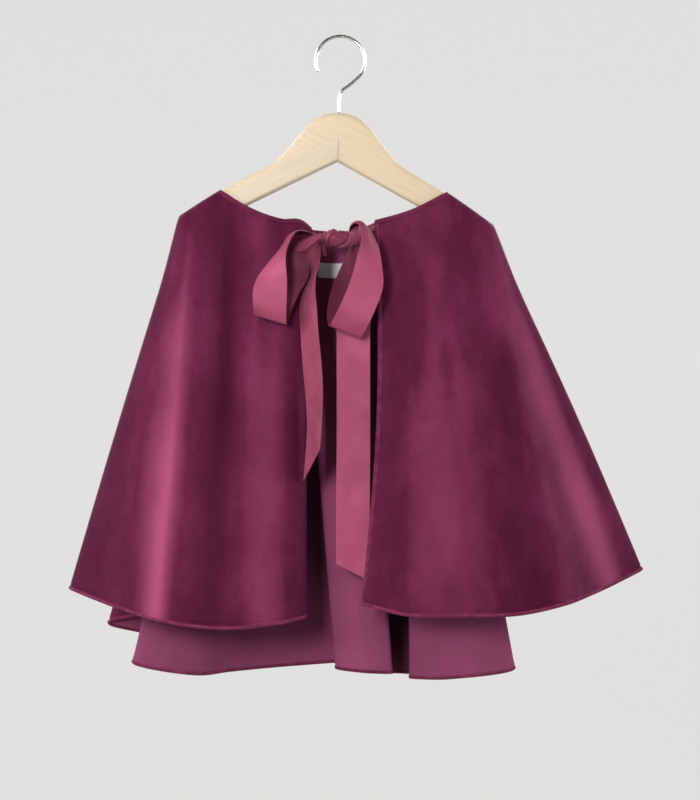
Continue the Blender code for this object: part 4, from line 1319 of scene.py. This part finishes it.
def add_hook():
    """The wire: free end on the left, over the bearing, round on the right and down into the wood."""
    centre = HOOK_WIRE / 2 - HOOK_RADIUS
    turn = np.radians(np.linspace(*HOOK_TURN_DEG, HOOK_POINTS))
    arc = np.stack([HOOK_RADIUS * np.cos(turn), 0.0 * turn, centre + HOOK_RADIUS * np.sin(turn)], axis=-1)
    foot = HANGER_TOP[0][1] + SEAM
    bend = np.array([*HOOK_BEND, (0.0, 0.0, SHANK_TOP), (0.0, 0.0, foot)])
    path = np.concatenate([arc, bend])
    knots = chord_knots(path)
    line = smooth_path(knots, path, np.linspace(0.0, knots[-1], HOOK_RINGS))
    ease = np.clip(lengths_along(line) / HOOK_WIRE * 2.0, 0.0, 1.0)
    half = (HOOK_WIRE / 2 * np.sqrt(1.0 - (1.0 - ease) ** 2 * HOOK_END_ROUND))[:, None]
    obj = add_loft("hook_wire", rolled(tube_rings(line, half, half, HOOK_SIDES)), STEEL)
    return dress(obj, "hook", "hanger_hook")


# Stage, light and camera


def add_stage():
    """A wide pale room: floor, round corner and upright wall."""
    bend = np.linspace(0.0, math.pi / 2, ROOM_BEND_RINGS)
    radius = np.concatenate([[1.0], ROOM_RADIUS - ROOM_BEND * (1.0 - np.sin(bend)), [ROOM_RADIUS]])
    height = np.concatenate([[0.0], ROOM_BEND * (1.0 - np.cos(bend)), [ROOM_TALL]]) + FLOOR_Z
    turn = np.linspace(0.0, 2 * math.pi, ROOM_SIDES, endpoint=False)[None]
    ring = np.stack(np.broadcast_arrays(np.cos(turn), np.sin(turn), 0.0), axis=-1)
    points = ring * radius[:, None, None] + np.array([0.0, 0.0, 1.0]) * height[:, None, None]
    at, faces = ring_faces(*points.shape[:2])
    room = add_mesh("room", points.reshape(-1, 3), [*faces, at[0].tolist()])
    material, tree, shader = new_material("pale room", 0.9, Specular_IOR_Level=0.0, Emission_Strength=1.0)
    shader.inputs["Base Color"].default_value = ROOM_COLOUR
    parts = tree.nodes.new("ShaderNodeSeparateXYZ")
    tree.links.new(texture_place(tree, "Object", (1.0, 0.5 / (ROOM_RADIUS * MM), 1.0)), parts.inputs[0])
    depth = math_node(tree, "ADD", parts.outputs["Y"], 0.5)
    glow = ramp(tree, depth, ROOM_NEAR, ROOM_FAR, *ROOM_CHANGE)
    tree.links.new(glow, shader.inputs["Emission Color"])
    room.data.materials.append(material)


def add_light(name, place, width, height, watts, colour):
    data = bpy.data.lights.new(name, "AREA")
    data.shape = "RECTANGLE"
    data.size = width
    data.size_y = height
    data.energy = watts
    data.color = colour
    obj = bpy.data.objects.new(name, data)
    bpy.context.scene.collection.objects.link(obj)
    obj.location = place
    away = np.array(place) - np.array(LIGHT_AIM)
    obj.rotation_euler = (
        math.atan2(math.hypot(away[0], away[1]), away[2]),
        0.0,
        math.atan2(away[1], away[0]) + math.pi / 2,
    )


def add_lights():
    """A small key from the front left, tall soft lights round the cape and a faint glow all over."""
    for light in LIGHTS:
        add_light(*light)
    world = bpy.data.worlds.new("soft room")
    world.use_nodes = True
    background = world.node_tree.nodes["Background"]
    background.inputs["Color"].default_value = ROOM_LIGHT_COLOUR
    background.inputs["Strength"].default_value = ROOM_LIGHT
    bpy.context.scene.world = world


def add_camera():
    data = bpy.data.cameras.new("camera")
    data.sensor_fit = "VERTICAL"
    data.sensor_height = SENSOR
    data.sensor_width = SENSOR
    data.lens = SENSOR * CAMERA_AWAY / (PICTURE[1] * MM_PER_PIXEL)
    data.clip_start, data.clip_end = CLIP
    obj = bpy.data.objects.new("camera", data)
    bpy.context.scene.collection.objects.link(obj)
    obj.location = (CAMERA_X * MM, -CAMERA_AWAY * MM, CAMERA_Z * MM)
    obj.rotation_euler = (math.pi / 2, 0.0, 0.0)
    bpy.context.scene.camera = obj


def build():
    cloths = [add_panel(name + "_cloth", *cut) for name, *cut, _, _ in PANELS]
    hems = [add_hem("hem_" + name, first, last) for name, first, last, *_ in PANELS]
    edge_left = add_front_edge("edge_front_left", KNOTS[0], EDGE_INTO)
    edge_right = add_front_edge("edge_front_right", KNOTS[-1], -EDGE_INTO)
    bands = [add_neck_band(f"neck_band_{name}_cloth", *ends) for name, *ends in NECK_BANDS]
    add_label()
    add_knot()
    # The wrap end takes the ribbon copy with painted shade
    wrap_end, _ = add_ribbon("wrap_end_ribbon", WRAP_END, 24, STRAIGHT, 0.0, RIBBON_DEEPER_SHADE)
    left, left_long = add_ribbon("tie_left_ribbon", TIE_LEFT, 24, STRAIGHT, 2.0, RIBBED, "tie_left")
    right, right_long = add_ribbon("tie_right_ribbon", TIE_RIGHT, 30, STRAIGHT, 2.0, RIBBED, "tie_right")
    # Name, path, rows along it, cut of its end, height of its fold, face, how it is held, length of its
    # tie, pieces that go with it
    # The left tail takes the copy with deeper painted shade, the right tail the copy with painted light
    stretches = (
        ("loop_left", LOOP_LEFT, 150, STRAIGHT, 4.5, RIBBED, "folded", 0.0, []),
        ("loop_right", LOOP_RIGHT, 160, STRAIGHT, 4.5, RIBBED, "folded", 0.0, []),
        ("tail_left", TAIL_LEFT, 150, TAIL_LEFT_CUT, 3.0, RIBBON_DEEPER_SHADE, "hung", left_long, [left, wrap_end]),
        ("tail_right", TAIL_RIGHT, 150, TAIL_RIGHT_CUT, 3.0, RIBBON_PAINTED_LIGHT, "hung", right_long, [right]),
    )
    for node, rows, count, cut, fold, face, held, more, others in stretches:
        obj, length = add_ribbon(node + "_ribbon", rows, count, cut, fold, face, node)
    add_arm("arm_left_wood", -1, FACET_PROUD, "hanger_arm_left")
    add_arm("arm_right_wood", 1, 0.0, "hanger_arm_right")
    add_hook()
    add_stage()
    add_lights()
    add_camera()
    bpy.context.scene.view_settings.view_transform = "Standard"


build()
